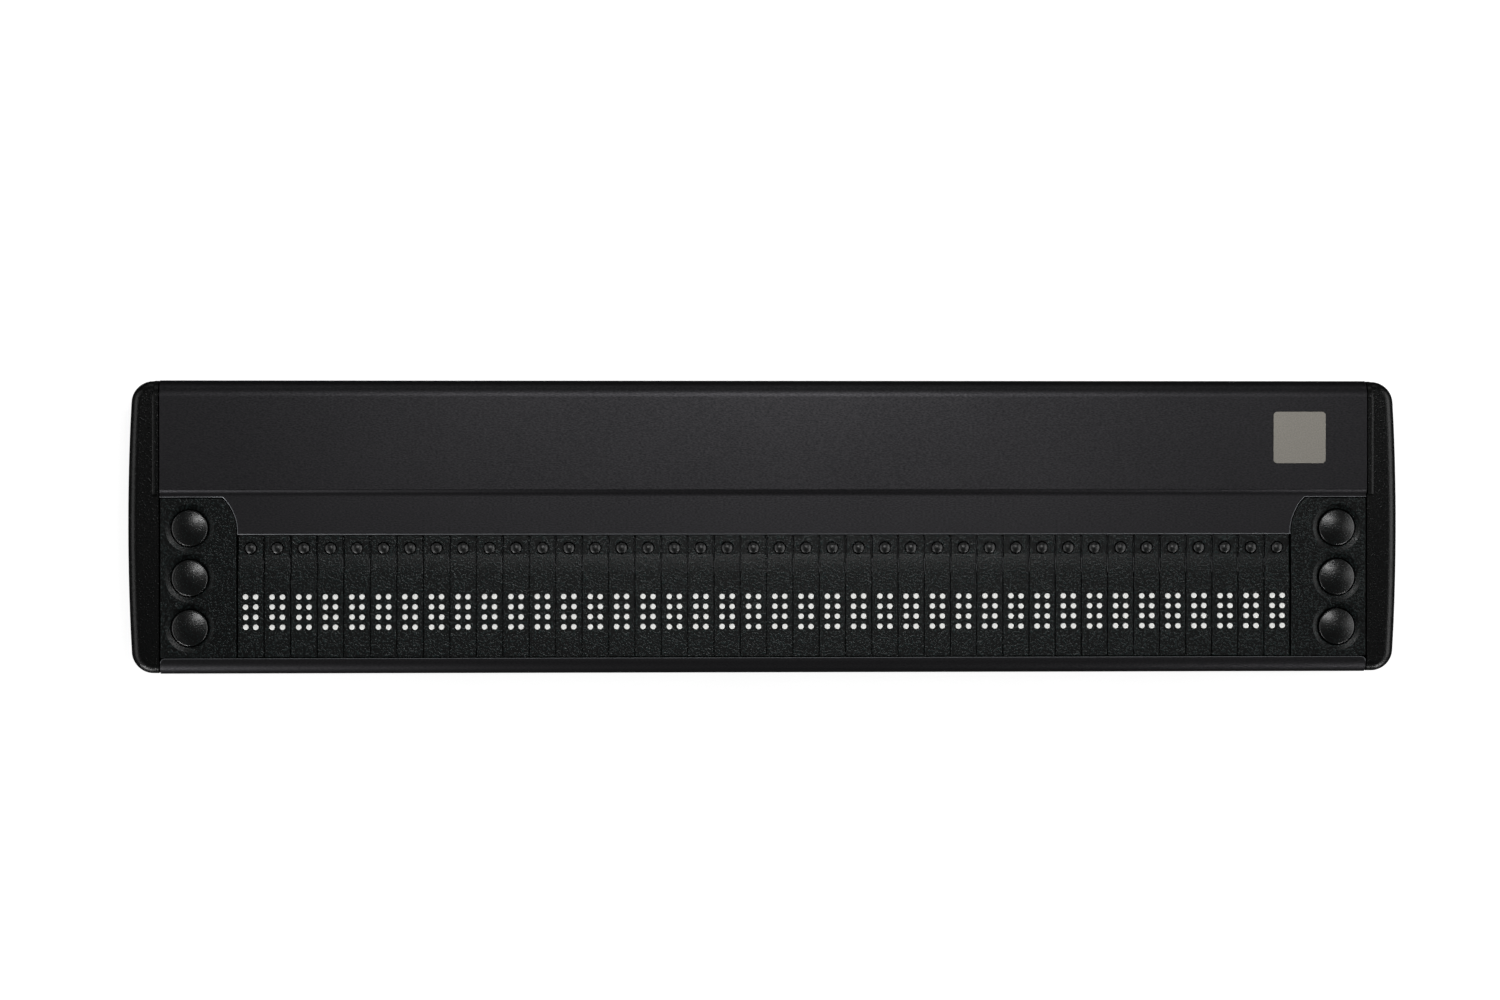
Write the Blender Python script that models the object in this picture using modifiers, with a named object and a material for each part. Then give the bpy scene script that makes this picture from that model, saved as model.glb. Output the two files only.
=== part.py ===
"""Refreshable braille display: forty eight-dot cells in a slim extruded housing.

Lengths are in metres and +Z is up. The origin lies on the table under the middle of the
housing. +X runs to the reader's right along the cells, and +Y runs away from the reader.
"""

import math

import bmesh
import bpy
from mathutils import Matrix, Vector

# Clearances and overruns that all pieces share
SEAT_GAP = 0.0003
CUT_OVERRUN = 0.002
JOIN_DEPTH = 0.0002
WELD_DISTANCE = 0.00001
FILLET_SHARE = 0.49

# Number of sides and arc steps of the round pieces
ARC_STEPS = 4
SMALL_ARC_STEPS = 2
KEY_SIDES = 12
ROUTING_SIDES = 6
DOT_SIDES = 4
SCREW_SIDES = 8

# Cells: their number, pitch and rows of dots
CELL_COUNT = 40
CELL_PITCH = 0.00642
DOT_ROWS = 4
DOT_PITCH = 0.00245
DOT_RADIUS = 0.00070
DOT_CLEARANCE = 0.00012
DOT_HEIGHT = 0.0007

# Cell caps: distances along Y, thickness, and how far their tops lie below the deck
ROUTING_INSET = 0.0033
ROUTING_TO_DOTS = 0.0118
DOTS_TO_FRONT = 0.00765
CAP_THICKNESS = 0.0014
CAP_SINK = 0.0004
SEAM_WIDTH = 0.0003
SEAM_DEPTH = 0.0005

# Rails under the caps that carry the pins of one dot row
RAIL_THICKNESS = 0.0008
RAIL_SPACING = 0.0005

# Routing keys
ROUTING_RADIUS = 0.00125
ROUTING_CLEARANCE = 0.0002
ROUTING_HEIGHT = 0.0007
ROUTING_DOME = 0.0004
ROUTING_FLANGE = 0.0006
ROUTING_FLANGE_THICKNESS = 0.0010
ROUTING_TRAVEL = 0.0005

# Control keys and the countersunk holes that they stand in
CONTROL_ROWS = 3
CONTROL_RADIUS = 0.004375
CONTROL_CLEARANCE = 0.0003
CONTROL_DOME = 0.0014
CONTROL_RIM_SINK = 0.0004
CONTROL_FLANGE = 0.0008
CONTROL_FLANGE_THICKNESS = 0.0008
CONTROL_STEM_RADIUS = 0.0020
CONTROL_TRAVEL = 0.0008
COUNTERSINK_RUN = 0.001225
COUNTERSINK_DEPTH = 0.0009
COUNTERSINK_WEB = 0.0003

# Key panels
PANEL_FRONT_WALL = 0.001275
PANEL_OUTER_WALL = 0.0013
PANEL_INNER_WALL = 0.0053
PANEL_SINK = 0.0001
PANEL_CHAMFER = 0.0034
PANEL_CHAMFER_RADIUS = 0.0100
PANEL_CORNER_RADIUS = 0.0015
PANEL_FLANGE = 0.0015
PANEL_FLANGE_THICKNESS = 0.0012

# Deck housing: the extrusion's depths, heights, walls and edge radii
RAIL_DEPTH = 0.0037
PANEL_TO_STEP = 0.00065
STEP_RUN = 0.0011
RAISED_DECK_DEPTH = 0.0266
HOUSING_HEIGHT = 0.0148
DECK_RISE = 0.0013
FLOOR_WALL = 0.0018
DECK_WALL = 0.0016
FRONT_WALL = 0.0017
REAR_WALL = 0.0018
FRONT_EDGE_RADIUS = 0.0030
REAR_EDGE_RADIUS = 0.0040
BOTTOM_EDGE_RADIUS = 0.0010
LEDGE_WIDTH = 0.0015
LEDGE_HEIGHT = 0.0022
BOSS_WIDTH = 0.0029
BOSS_HEIGHT = 0.0036
CHANNEL_RADIUS = 0.0008

# Rubber foot strips in grooves along the housing's underside
FOOT_HEIGHT = 0.0012
FOOT_WIDTH = 0.0080
FOOT_INSET = 0.0090
FOOT_END_INSET = 0.0070
GROOVE_DEPTH = 0.0009

# End caps
END_CAP_WIDTH = 0.00745
END_CAP_BULGE = 0.0011
END_CAP_CORNER_RADIUS = 0.0050
END_CAP_EDGE_RADIUS = 0.0015
END_CAP_SINK = 0.0001
END_CAP_WALL = 0.0024
END_CAP_SETBACK = 0.0002
END_CAP_TRIM = 0.0030
BOW_SHARES = (-0.66, -0.33, 0.0, 0.33, 0.66)
BEVEL_DEGREES = 60
LIP_WIDTH = 0.0015
LIP_SETBACK = 0.0001
POCKET_COUNT = 3
POCKET_RIB = 0.0016
POCKET_END_WALL = 0.0062
POCKET_TOP_WALL = 0.0029
TONGUE_LENGTH = 0.0030
DECK_TONGUE_THICKNESS = 0.0020
DECK_TONGUE_INSET = 0.0030
SCREW_HOLE_RADIUS = 0.0012
SCREW_HEAD_RADIUS = 0.0021
SCREW_SEAT_THICKNESS = 0.0030

# Main circuit board and what is soldered to it
BOARD_THICKNESS = 0.0016
BOARD_END_INSET = 0.0010
SWITCH_WIDTH = 0.0060
SWITCH_HEIGHT = 0.0011
CHIP_WIDTH = 0.0090
CHIP_HEIGHT = 0.0012
CONVERTER_WIDTH = 0.0090
CONVERTER_HEIGHT = 0.0050
COMPONENT_INSET = 0.0020

# USB socket at the board's left end
SOCKET_REAR_INSET = 0.0138
SOCKET_WIDTH = 0.0089
SOCKET_HEIGHT = 0.0032
SOCKET_LENGTH = 0.0090
SOCKET_WALL = 0.0003
SOCKET_DEPTH = 0.0062
SOCKET_RECESS = 0.0008
SOCKET_TONGUE_WIDTH = 0.0067
SOCKET_TONGUE_THICKNESS = 0.0007
SOCKET_TONGUE_LENGTH = 0.0045
TAB_MARGIN = 0.0015
TAB_END_INSET = 0.0006

# Actuator block: the row of piezo modules that lift the dots
MODULE_SLOT_WIDTH = 0.0004
MODULE_SLOT_DEPTH = 0.0025
MODULE_SLOT_INSET = 0.0020

# Places across the part, worked out from the cells and the keys
BANK_LENGTH = CELL_COUNT * CELL_PITCH
CONTROL_HOLE_RADIUS = CONTROL_RADIUS + CONTROL_CLEARANCE
COUNTERSINK_RADIUS = CONTROL_HOLE_RADIUS + COUNTERSINK_RUN
CONTROL_PITCH = 2 * COUNTERSINK_RADIUS + COUNTERSINK_WEB
PANEL_INNER_X = BANK_LENGTH / 2 + SEAT_GAP
CONTROL_X = PANEL_INNER_X + PANEL_INNER_WALL + COUNTERSINK_RADIUS
PANEL_OUTER_X = CONTROL_X + COUNTERSINK_RADIUS + PANEL_OUTER_WALL
HOUSING_LENGTH = 2 * PANEL_OUTER_X
END_CAP_INNER_X = HOUSING_LENGTH / 2 + SEAT_GAP
END_CAP_OUTER_X = END_CAP_INNER_X + END_CAP_WIDTH

# Places along the depth, from the front rail to the rear edge
WINDOW_DEPTH = ROUTING_INSET + ROUTING_TO_DOTS + (DOT_ROWS - 1) * DOT_PITCH + DOTS_TO_FRONT
PANEL_DEPTH = (CONTROL_ROWS - 1) * CONTROL_PITCH + 2 * (COUNTERSINK_RADIUS + PANEL_FRONT_WALL)
STEP_TO_FRONT = RAIL_DEPTH + 2 * SEAT_GAP + PANEL_DEPTH + PANEL_TO_STEP
HOUSING_DEPTH = STEP_TO_FRONT + STEP_RUN + RAISED_DECK_DEPTH
FRONT_Y = -HOUSING_DEPTH / 2
REAR_Y = HOUSING_DEPTH / 2
WINDOW_FRONT_Y = FRONT_Y + RAIL_DEPTH
WINDOW_REAR_Y = WINDOW_FRONT_Y + WINDOW_DEPTH
PANEL_FRONT_Y = WINDOW_FRONT_Y + SEAT_GAP
PANEL_REAR_Y = PANEL_FRONT_Y + PANEL_DEPTH
STEP_FRONT_Y = FRONT_Y + STEP_TO_FRONT
STEP_REAR_Y = STEP_FRONT_Y + STEP_RUN
ROUTING_Y = WINDOW_REAR_Y - ROUTING_INSET
FIRST_DOT_Y = ROUTING_Y - ROUTING_TO_DOTS
LAST_DOT_Y = FIRST_DOT_Y - (DOT_ROWS - 1) * DOT_PITCH
INNER_FRONT_Y = FRONT_Y + FRONT_WALL
INNER_REAR_Y = REAR_Y - REAR_WALL
CHANNEL_INSET = BOSS_WIDTH / 2
FRONT_CHANNEL_Y = INNER_FRONT_Y + CHANNEL_INSET
REAR_CHANNEL_Y = INNER_REAR_Y - CHANNEL_INSET

# Heights, from the table to the raised deck
HOUSING_BOTTOM_Z = FOOT_HEIGHT
FLOOR_Z = HOUSING_BOTTOM_Z + FLOOR_WALL
LEDGE_Z = FLOOR_Z + LEDGE_HEIGHT
BOARD_BOTTOM_Z = LEDGE_Z + SEAT_GAP
BOARD_TOP_Z = BOARD_BOTTOM_Z + BOARD_THICKNESS
BOSS_BOTTOM_Z = BOARD_TOP_Z + SEAT_GAP
BOSS_TOP_Z = BOSS_BOTTOM_Z + BOSS_HEIGHT
CHANNEL_Z = (BOSS_BOTTOM_Z + BOSS_TOP_Z) / 2
LOWER_DECK_Z = HOUSING_BOTTOM_Z + HOUSING_HEIGHT
RAISED_DECK_Z = LOWER_DECK_Z + DECK_RISE
LOWER_CEILING_Z = LOWER_DECK_Z - DECK_WALL
RAISED_CEILING_Z = RAISED_DECK_Z - DECK_WALL
CAP_TOP_Z = LOWER_DECK_Z - CAP_SINK
CAP_BOTTOM_Z = CAP_TOP_Z - CAP_THICKNESS
CARRIED_TOP_Z = CAP_BOTTOM_Z - SEAT_GAP
RAIL_BOTTOM_Z = CARRIED_TOP_Z - RAIL_THICKNESS
ROUTING_BOTTOM_Z = CARRIED_TOP_Z - ROUTING_FLANGE_THICKNESS
PANEL_TOP_Z = LOWER_DECK_Z - PANEL_SINK
PANEL_FLANGE_TOP_Z = LOWER_CEILING_Z - SEAT_GAP
PANEL_BOTTOM_Z = PANEL_FLANGE_TOP_Z - PANEL_FLANGE_THICKNESS
CONTROL_RIM_Z = PANEL_TOP_Z - CONTROL_RIM_SINK
CONTROL_FLANGE_TOP_Z = PANEL_BOTTOM_Z - SEAT_GAP
CONTROL_FLANGE_BOTTOM_Z = CONTROL_FLANGE_TOP_Z - CONTROL_FLANGE_THICKNESS
SWITCH_TOP_Z = BOARD_TOP_Z + SWITCH_HEIGHT
CONTROL_BOTTOM_Z = SWITCH_TOP_Z + SEAT_GAP + CONTROL_TRAVEL
END_CAP_TOP_Z = LOWER_DECK_Z - END_CAP_SINK

# Colours as linear red, green and blue, with roughness and metallic value
ANODISED = ((0.030, 0.031, 0.034), 0.42, 0.9)
BLACK_PLASTIC = ((0.012, 0.013, 0.013), 0.55, 0.0)
WHITE_PLASTIC = ((0.72, 0.73, 0.72), 0.40, 0.0)
BLACK_RUBBER = ((0.020, 0.020, 0.020), 0.90, 0.0)
BOARD_GREEN = ((0.015, 0.090, 0.035), 0.50, 0.0)
MODULE_GREY = ((0.180, 0.185, 0.190), 0.60, 0.0)


def clear_scene():
    """Removes the objects that the scene starts with."""
    for item in list(bpy.data.objects):
        bpy.data.objects.remove(item, do_unlink=True)


def new_collection(name):
    """A collection under the scene's own, for one kind of object."""
    collection = bpy.data.collections.new(name)
    bpy.context.scene.collection.children.link(collection)
    return collection


def new_object(name, mesh, location=(0, 0, 0)):
    """A part of the display, listed under its own name."""
    part = bpy.data.objects.new(name, mesh)
    part.location = location
    PARTS.objects.link(part)
    return part


def new_tool(name, mesh, location=(0, 0, 0)):
    """A hidden shape that cuts a part or is joined to it."""
    tool = bpy.data.objects.new(name, mesh)
    tool.location = location
    tool.hide_render = True
    tool.display_type = "WIRE"
    TOOLS.objects.link(tool)
    return tool


def paint(part, finish):
    """Gives the part a material of its own with the finish's colour, roughness and metal."""
    colour, roughness, metallic = finish
    material = bpy.data.materials.new(part.name)
    material.use_nodes = True
    shader = material.node_tree.nodes["Principled BSDF"]
    shader.inputs["Base Color"].default_value = (*colour, 1)
    shader.inputs["Roughness"].default_value = roughness
    shader.inputs["Metallic"].default_value = metallic
    part.data.materials.append(material)


def mesh_from(shape, name):
    """Turns an edited shape into a mesh with its faces pointing out."""
    bmesh.ops.recalc_face_normals(shape, faces=shape.faces)
    mesh = bpy.data.meshes.new(name)
    shape.to_mesh(mesh)
    shape.free()
    return mesh


def boxes(name, corners):
    """One mesh of separate boxes, each given by its lowest and its highest corner."""
    shape = bmesh.new()
    for low, high in corners:
        low, high = Vector(low), Vector(high)
        place = Matrix.LocRotScale((low + high) / 2, None, high - low)
        bmesh.ops.create_cube(shape, size=1, matrix=place)
    return mesh_from(shape, name)


def upright_prisms(name, places, radius, sides, low, high):
    """One mesh of separate upright prisms, one at each place (x, y)."""
    shape = bmesh.new()
    turn = Matrix.Rotation(math.pi / sides, 4, "Z")
    for x, y in places:
        bmesh.ops.create_cone(
            shape, cap_ends=True, segments=sides, radius1=radius, radius2=radius,
            depth=high - low, matrix=Matrix.Translation((x, y, (low + high) / 2)) @ turn,
        )
    return mesh_from(shape, name)


def rounded(corners, steps=ARC_STEPS):
    """The points of a closed outline whose corners (x, y, radius) are rounded."""
    points = []
    for index, (x, y, radius) in enumerate(corners):
        corner = Vector((x, y))
        if radius == 0:
            points.append(corner)
            continue
        back = Vector(corners[index - 1][:2]) - corner
        ahead = Vector(corners[(index + 1) % len(corners)][:2]) - corner
        half_angle = back.angle(ahead) / 2
        reach = min(
            radius / math.tan(half_angle), FILLET_SHARE * back.length, FILLET_SHARE * ahead.length
        )
        bisector = (back.normalized() + ahead.normalized()).normalized()
        centre = corner + bisector * reach / math.cos(half_angle)
        first = corner + back.normalized() * reach - centre
        last = corner + ahead.normalized() * reach - centre
        start = math.atan2(first.y, first.x)
        sweep = math.remainder(math.atan2(last.y, last.x) - start, math.tau)
        for step in range(steps + 1):
            angle = start + sweep * step / steps
            points.append(centre + Vector((math.cos(angle), math.sin(angle))) * first.length)
    return points


def circle(x, y, radius, sides):
    """The points of a round hole in an outline."""
    angles = [math.tau * side / sides for side in range(sides)]
    return [Vector((x + radius * math.cos(a), y + radius * math.sin(a))) for a in angles]


def extruded(name, outlines, thickness):
    """A mesh with the given outline and holes, reaching half the thickness each way along Z."""
    curve = bpy.data.curves.new(name, "CURVE")
    curve.dimensions = "2D"
    curve.fill_mode = "BOTH"
    curve.extrude = thickness / 2
    for outline in outlines:
        spline = curve.splines.new("POLY")
        spline.points.add(len(outline) - 1)
        for point, place in zip(spline.points, outline):
            point.co = (place.x, place.y, 0, 1)
        spline.use_cyclic_u = True
    guide = bpy.data.objects.new(name, curve)
    TOOLS.objects.link(guide)
    graph = bpy.context.evaluated_depsgraph_get()
    filled = bpy.data.meshes.new_from_object(guide.evaluated_get(graph))
    bpy.data.objects.remove(guide)
    shape = bmesh.new()
    shape.from_mesh(filled)
    bmesh.ops.remove_doubles(shape, verts=shape.verts, dist=WELD_DISTANCE)
    # The ends are triangles and the sides are quads. Flipping the ends' inner edges removes
    # the flat triangles that the filling leaves between points on one line.
    ends = [face for face in shape.faces if len(face.verts) == 3]
    inner = [edge for edge in shape.edges if all(len(face.verts) == 3 for face in edge.link_faces)]
    bmesh.ops.beautify_fill(shape, faces=ends, edges=inner)
    return mesh_from(shape, name)


def turn_to_side(item, middle_x=0.0):
    """Turns an outline drawn as (y, z) to face along X, with its middle at middle_x."""
    turn = Matrix(((0, 0, 1, 0), (1, 0, 0, 0), (0, 1, 0, 0), (0, 0, 0, 1)))
    item.matrix_world = Matrix.Translation((middle_x, 0, 0)) @ turn


def mirrored(outline, side):
    """The outline of the right-hand piece, or of the left-hand one where side is -1."""
    if side > 0:
        return outline
    return [Vector((-point.x, point.y)) for point in reversed(outline)]


def profile_mesh(name, profile):
    """The edges of half a round body's section: points (radius, z) from top to bottom."""
    mesh = bpy.data.meshes.new(name)
    edges = [(index, index + 1) for index in range(len(profile) - 1)]
    mesh.from_pydata([(radius, 0, z) for radius, z in profile], edges, [])
    return mesh


def add_turn(item, sides):
    """Turns the object's half section about Z into a closed round body."""
    modifier = item.modifiers.new("turn", "SCREW")
    modifier.steps = sides
    modifier.render_steps = sides
    modifier.use_merge_vertices = True
    modifier.merge_threshold = WELD_DISTANCE
    modifier.use_smooth_shade = True


def combine(part, tool, operation):
    """Cuts the tool from the part, or joins it to the part."""
    modifier = part.modifiers.new(tool.name, "BOOLEAN")
    modifier.operation = operation
    modifier.solver = "EXACT"
    modifier.object = tool


def side_name(side):
    """The word for the end of the display that side -1 or 1 stands for."""
    return "right" if side > 0 else "left"


def cell_x(cell):
    """The middle of a cell, counted from the left."""
    return (cell - (CELL_COUNT - 1) / 2) * CELL_PITCH


def control_y(row):
    """The middle of a control key, counted from the rear."""
    return PANEL_REAR_Y - PANEL_FRONT_WALL - COUNTERSINK_RADIUS - row * CONTROL_PITCH


def panel_corners(grow):
    """The right key panel's outline, grown by a clearance on its inner and rear sides."""
    chamfer = PANEL_CHAMFER + (2 - math.sqrt(2)) * grow
    inner, rear = PANEL_INNER_X - grow, PANEL_REAR_Y + grow
    return inner, rear, [
        (inner + chamfer, rear, PANEL_CORNER_RADIUS),
        (inner, rear - chamfer, PANEL_CHAMFER_RADIUS + grow),
    ]


def make_housing():
    """The deck housing: a tube extruded along X, with the window machined through its deck."""
    groove_half = FOOT_WIDTH / 2 + SEAT_GAP
    groove_z = HOUSING_BOTTOM_Z + GROOVE_DEPTH
    outer = [(FRONT_Y, HOUSING_BOTTOM_Z, BOTTOM_EDGE_RADIUS)]
    for middle in (FRONT_Y + FOOT_INSET, REAR_Y - FOOT_INSET):
        outer += [
            (middle - groove_half, HOUSING_BOTTOM_Z, 0), (middle - groove_half, groove_z, 0),
            (middle + groove_half, groove_z, 0), (middle + groove_half, HOUSING_BOTTOM_Z, 0),
        ]
    outer += [
        (REAR_Y, HOUSING_BOTTOM_Z, BOTTOM_EDGE_RADIUS),
        (REAR_Y, RAISED_DECK_Z, REAR_EDGE_RADIUS),
        (STEP_REAR_Y, RAISED_DECK_Z, 0),
        (STEP_FRONT_Y, LOWER_DECK_Z, 0),
        (FRONT_Y, LOWER_DECK_Z, FRONT_EDGE_RADIUS),
    ]
    step_shift = DECK_WALL / 2
    inner = [
        (INNER_FRONT_Y + LEDGE_WIDTH, FLOOR_Z, 0),
        (INNER_REAR_Y - LEDGE_WIDTH, FLOOR_Z, 0),
        (INNER_REAR_Y - LEDGE_WIDTH, LEDGE_Z, 0),
        (INNER_REAR_Y, LEDGE_Z, 0),
        (INNER_REAR_Y, BOSS_BOTTOM_Z, 0),
        (INNER_REAR_Y - BOSS_WIDTH, BOSS_BOTTOM_Z, 0),
        (INNER_REAR_Y - BOSS_WIDTH, BOSS_TOP_Z, 0),
        (INNER_REAR_Y, BOSS_TOP_Z, 0),
        (INNER_REAR_Y, RAISED_CEILING_Z, REAR_EDGE_RADIUS - REAR_WALL),
        (STEP_REAR_Y + step_shift, RAISED_CEILING_Z, 0),
        (STEP_FRONT_Y + step_shift, LOWER_CEILING_Z, 0),
        (INNER_FRONT_Y, LOWER_CEILING_Z, 0),
        (INNER_FRONT_Y, BOSS_TOP_Z, 0),
        (INNER_FRONT_Y + BOSS_WIDTH, BOSS_TOP_Z, 0),
        (INNER_FRONT_Y + BOSS_WIDTH, BOSS_BOTTOM_Z, 0),
        (INNER_FRONT_Y, BOSS_BOTTOM_Z, 0),
        (INNER_FRONT_Y, LEDGE_Z, 0),
        (INNER_FRONT_Y + LEDGE_WIDTH, LEDGE_Z, 0),
    ]
    channels = [
        circle(y, CHANNEL_Z, CHANNEL_RADIUS, SCREW_SIDES)
        for y in (FRONT_CHANNEL_Y, REAR_CHANNEL_Y)
    ]
    outlines = [rounded(outer), rounded(inner, SMALL_ARC_STEPS), *channels]
    housing = new_object("deck_housing", extruded("deck_housing", outlines, HOUSING_LENGTH))
    turn_to_side(housing)

    inner_x, rear_y, corner = panel_corners(SEAT_GAP)
    end_x = HOUSING_LENGTH / 2 + CUT_OVERRUN
    right_half = [
        (end_x, WINDOW_FRONT_Y, 0), (end_x, rear_y, 0), *corner, (inner_x, WINDOW_REAR_Y, 0),
    ]
    right = rounded(right_half)
    window = right + [Vector((-point.x, point.y)) for point in reversed(right)]
    deck_z = (LOWER_CEILING_Z + LOWER_DECK_Z) / 2
    cutter = new_tool(
        "window_cut", extruded("window_cut", [window], DECK_WALL + 2 * CUT_OVERRUN), (0, 0, deck_z)
    )
    combine(housing, cutter, "DIFFERENCE")
    paint(housing, ANODISED)


def make_feet():
    """Two rubber strips pressed into the grooves of the housing's underside."""
    half_length = HOUSING_LENGTH / 2 - FOOT_END_INSET
    top = FOOT_HEIGHT + GROOVE_DEPTH - SEAT_GAP
    for name, middle in (("front", FRONT_Y + FOOT_INSET), ("rear", REAR_Y - FOOT_INSET)):
        low = (-half_length, -FOOT_WIDTH / 2, 0)
        high = (half_length, FOOT_WIDTH / 2, top)
        foot = new_object(f"{name}_foot_strip", boxes("foot_strip", [(low, high)]), (0, middle, 0))
        paint(foot, BLACK_RUBBER)


def end_cap_outline(side):
    """The end cap's plan: a bowed outer side, and an inner end that is trimmed off later."""
    half = HOUSING_DEPTH / 2 - END_CAP_SETBACK
    corner_x = END_CAP_OUTER_X - END_CAP_BULGE
    blank_x = END_CAP_INNER_X - END_CAP_TRIM
    bow = [
        (END_CAP_OUTER_X - END_CAP_BULGE * share**2, half * share, 0) for share in BOW_SHARES
    ]
    corners = [
        (blank_x, -half, 0),
        (corner_x, -half, END_CAP_CORNER_RADIUS),
        *bow,
        (corner_x, half, END_CAP_CORNER_RADIUS),
        (blank_x, half, 0),
    ]
    return mirrored(rounded(corners), side)


def across(side, inner_x, outer_x, low, high):
    """A box at one end of the display, given by its distances from the middle."""
    first, second = sorted((side * inner_x, side * outer_x))
    return (first, *low), (second, *high)


def make_end_cap(side):
    """An end cap: a moulded shell with a lip, two tongues and two screw holes."""
    name = f"{side_name(side)}_end_cap"
    height = END_CAP_TOP_Z - HOUSING_BOTTOM_Z
    middle_z = (END_CAP_TOP_Z + HOUSING_BOTTOM_Z) / 2
    cap = new_object(name, extruded(name, [end_cap_outline(side)], height), (0, 0, middle_z))
    edge = cap.modifiers.new("rounded edge", "BEVEL")
    edge.width = END_CAP_EDGE_RADIUS
    edge.segments = SMALL_ARC_STEPS
    edge.limit_method = "ANGLE"
    edge.angle_limit = math.radians(BEVEL_DEGREES)
    cap.modifiers.new("flat faces", "TRIANGULATE")

    lip_rear = REAR_Y - LIP_SETBACK
    lip_low = END_CAP_TOP_Z - REAR_EDGE_RADIUS
    lip_outline = [
        (STEP_FRONT_Y, lip_low, 0), (lip_rear, lip_low, 0),
        (lip_rear, RAISED_DECK_Z, REAR_EDGE_RADIUS),
        (STEP_REAR_Y, RAISED_DECK_Z, 0), (STEP_FRONT_Y, LOWER_DECK_Z, 0),
    ]
    blank_width = LIP_WIDTH + END_CAP_TRIM / 2
    lip = new_tool(f"{name}_lip", extruded("lip", [rounded(lip_outline)], blank_width))
    turn_to_side(lip, side * (END_CAP_INNER_X + LIP_WIDTH - blank_width / 2))
    combine(cap, lip, "UNION")
    trim = across(
        side, END_CAP_INNER_X - 2 * END_CAP_TRIM, END_CAP_INNER_X,
        (FRONT_Y - CUT_OVERRUN, HOUSING_BOTTOM_Z - CUT_OVERRUN),
        (REAR_Y + CUT_OVERRUN, RAISED_DECK_Z + CUT_OVERRUN),
    )
    combine(cap, new_tool(f"{name}_trim", boxes("trim", [trim])), "DIFFERENCE")

    pocket_x = END_CAP_OUTER_X - END_CAP_BULGE - END_CAP_WALL
    pocket_top = END_CAP_TOP_Z - POCKET_TOP_WALL
    pocket_end = HOUSING_DEPTH / 2 - POCKET_END_WALL
    pocket_pitch = (2 * pocket_end + POCKET_RIB) / POCKET_COUNT
    pocket_width = pocket_pitch - POCKET_RIB
    starts = [-pocket_end + index * pocket_pitch for index in range(POCKET_COUNT)]
    pockets = [
        across(side, END_CAP_INNER_X - CUT_OVERRUN, pocket_x, (start, LEDGE_Z),
               (start + pocket_width, pocket_top))
        for start in starts
    ]
    combine(cap, new_tool(f"{name}_pockets", boxes("pockets", pockets)), "DIFFERENCE")

    tongue_x = END_CAP_INNER_X - TONGUE_LENGTH
    seat_x = END_CAP_INNER_X + JOIN_DEPTH
    deck_front = STEP_REAR_Y + DECK_TONGUE_INSET
    deck_rear = INNER_REAR_Y - DECK_TONGUE_INSET
    deck_top = RAISED_CEILING_Z - SEAT_GAP
    tongues = [
        across(side, tongue_x, seat_x, (-pocket_end, FLOOR_Z + SEAT_GAP),
               (pocket_end, LEDGE_Z - JOIN_DEPTH)),
        across(side, tongue_x, seat_x, (deck_front, deck_top - DECK_TONGUE_THICKNESS),
               (deck_rear, deck_top)),
    ]
    combine(cap, new_tool(f"{name}_tongues", boxes("tongues", tongues)), "UNION")

    seat_x = END_CAP_INNER_X + SCREW_SEAT_THICKNESS
    inside_x = END_CAP_INNER_X - CUT_OVERRUN
    outside_x = END_CAP_OUTER_X + CUT_OVERRUN
    profile = [
        (0, outside_x), (SCREW_HEAD_RADIUS, outside_x), (SCREW_HEAD_RADIUS, seat_x),
        (SCREW_HOLE_RADIUS, seat_x), (SCREW_HOLE_RADIUS, inside_x), (0, inside_x),
    ]
    for word, y in (("front", FRONT_CHANNEL_Y), ("rear", REAR_CHANNEL_Y)):
        cutter = new_tool(f"{name}_{word}_screw_hole", profile_mesh("screw_hole", profile))
        cutter.matrix_world = (
            Matrix.Translation((0, y, CHANNEL_Z)) @ Matrix.Rotation(side * math.pi / 2, 4, "Y")
        )
        add_turn(cutter, SCREW_SIDES)
        combine(cap, cutter, "DIFFERENCE")

    if side < 0:
        low, high = socket_box(SEAT_GAP)
        mouth = ((-outside_x, low[1], low[2]), (-pocket_x + CUT_OVERRUN, high[1], high[2]))
        combine(cap, new_tool("socket_mouth", boxes("socket_mouth", [mouth])), "DIFFERENCE")
    paint(cap, BLACK_PLASTIC)


def socket_box(grow=0.0):
    """The corners of the USB socket's shell, grown by a clearance."""
    middle_y = REAR_Y - SOCKET_REAR_INSET
    mouth_x = -(END_CAP_OUTER_X - END_CAP_BULGE / 2 - SOCKET_RECESS)
    low = (mouth_x, middle_y - SOCKET_WIDTH / 2 - grow, BOARD_TOP_Z - JOIN_DEPTH - grow)
    high = (mouth_x + SOCKET_LENGTH, middle_y + SOCKET_WIDTH / 2 + grow,
            BOARD_TOP_Z + SOCKET_HEIGHT + grow)
    return low, high


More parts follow.
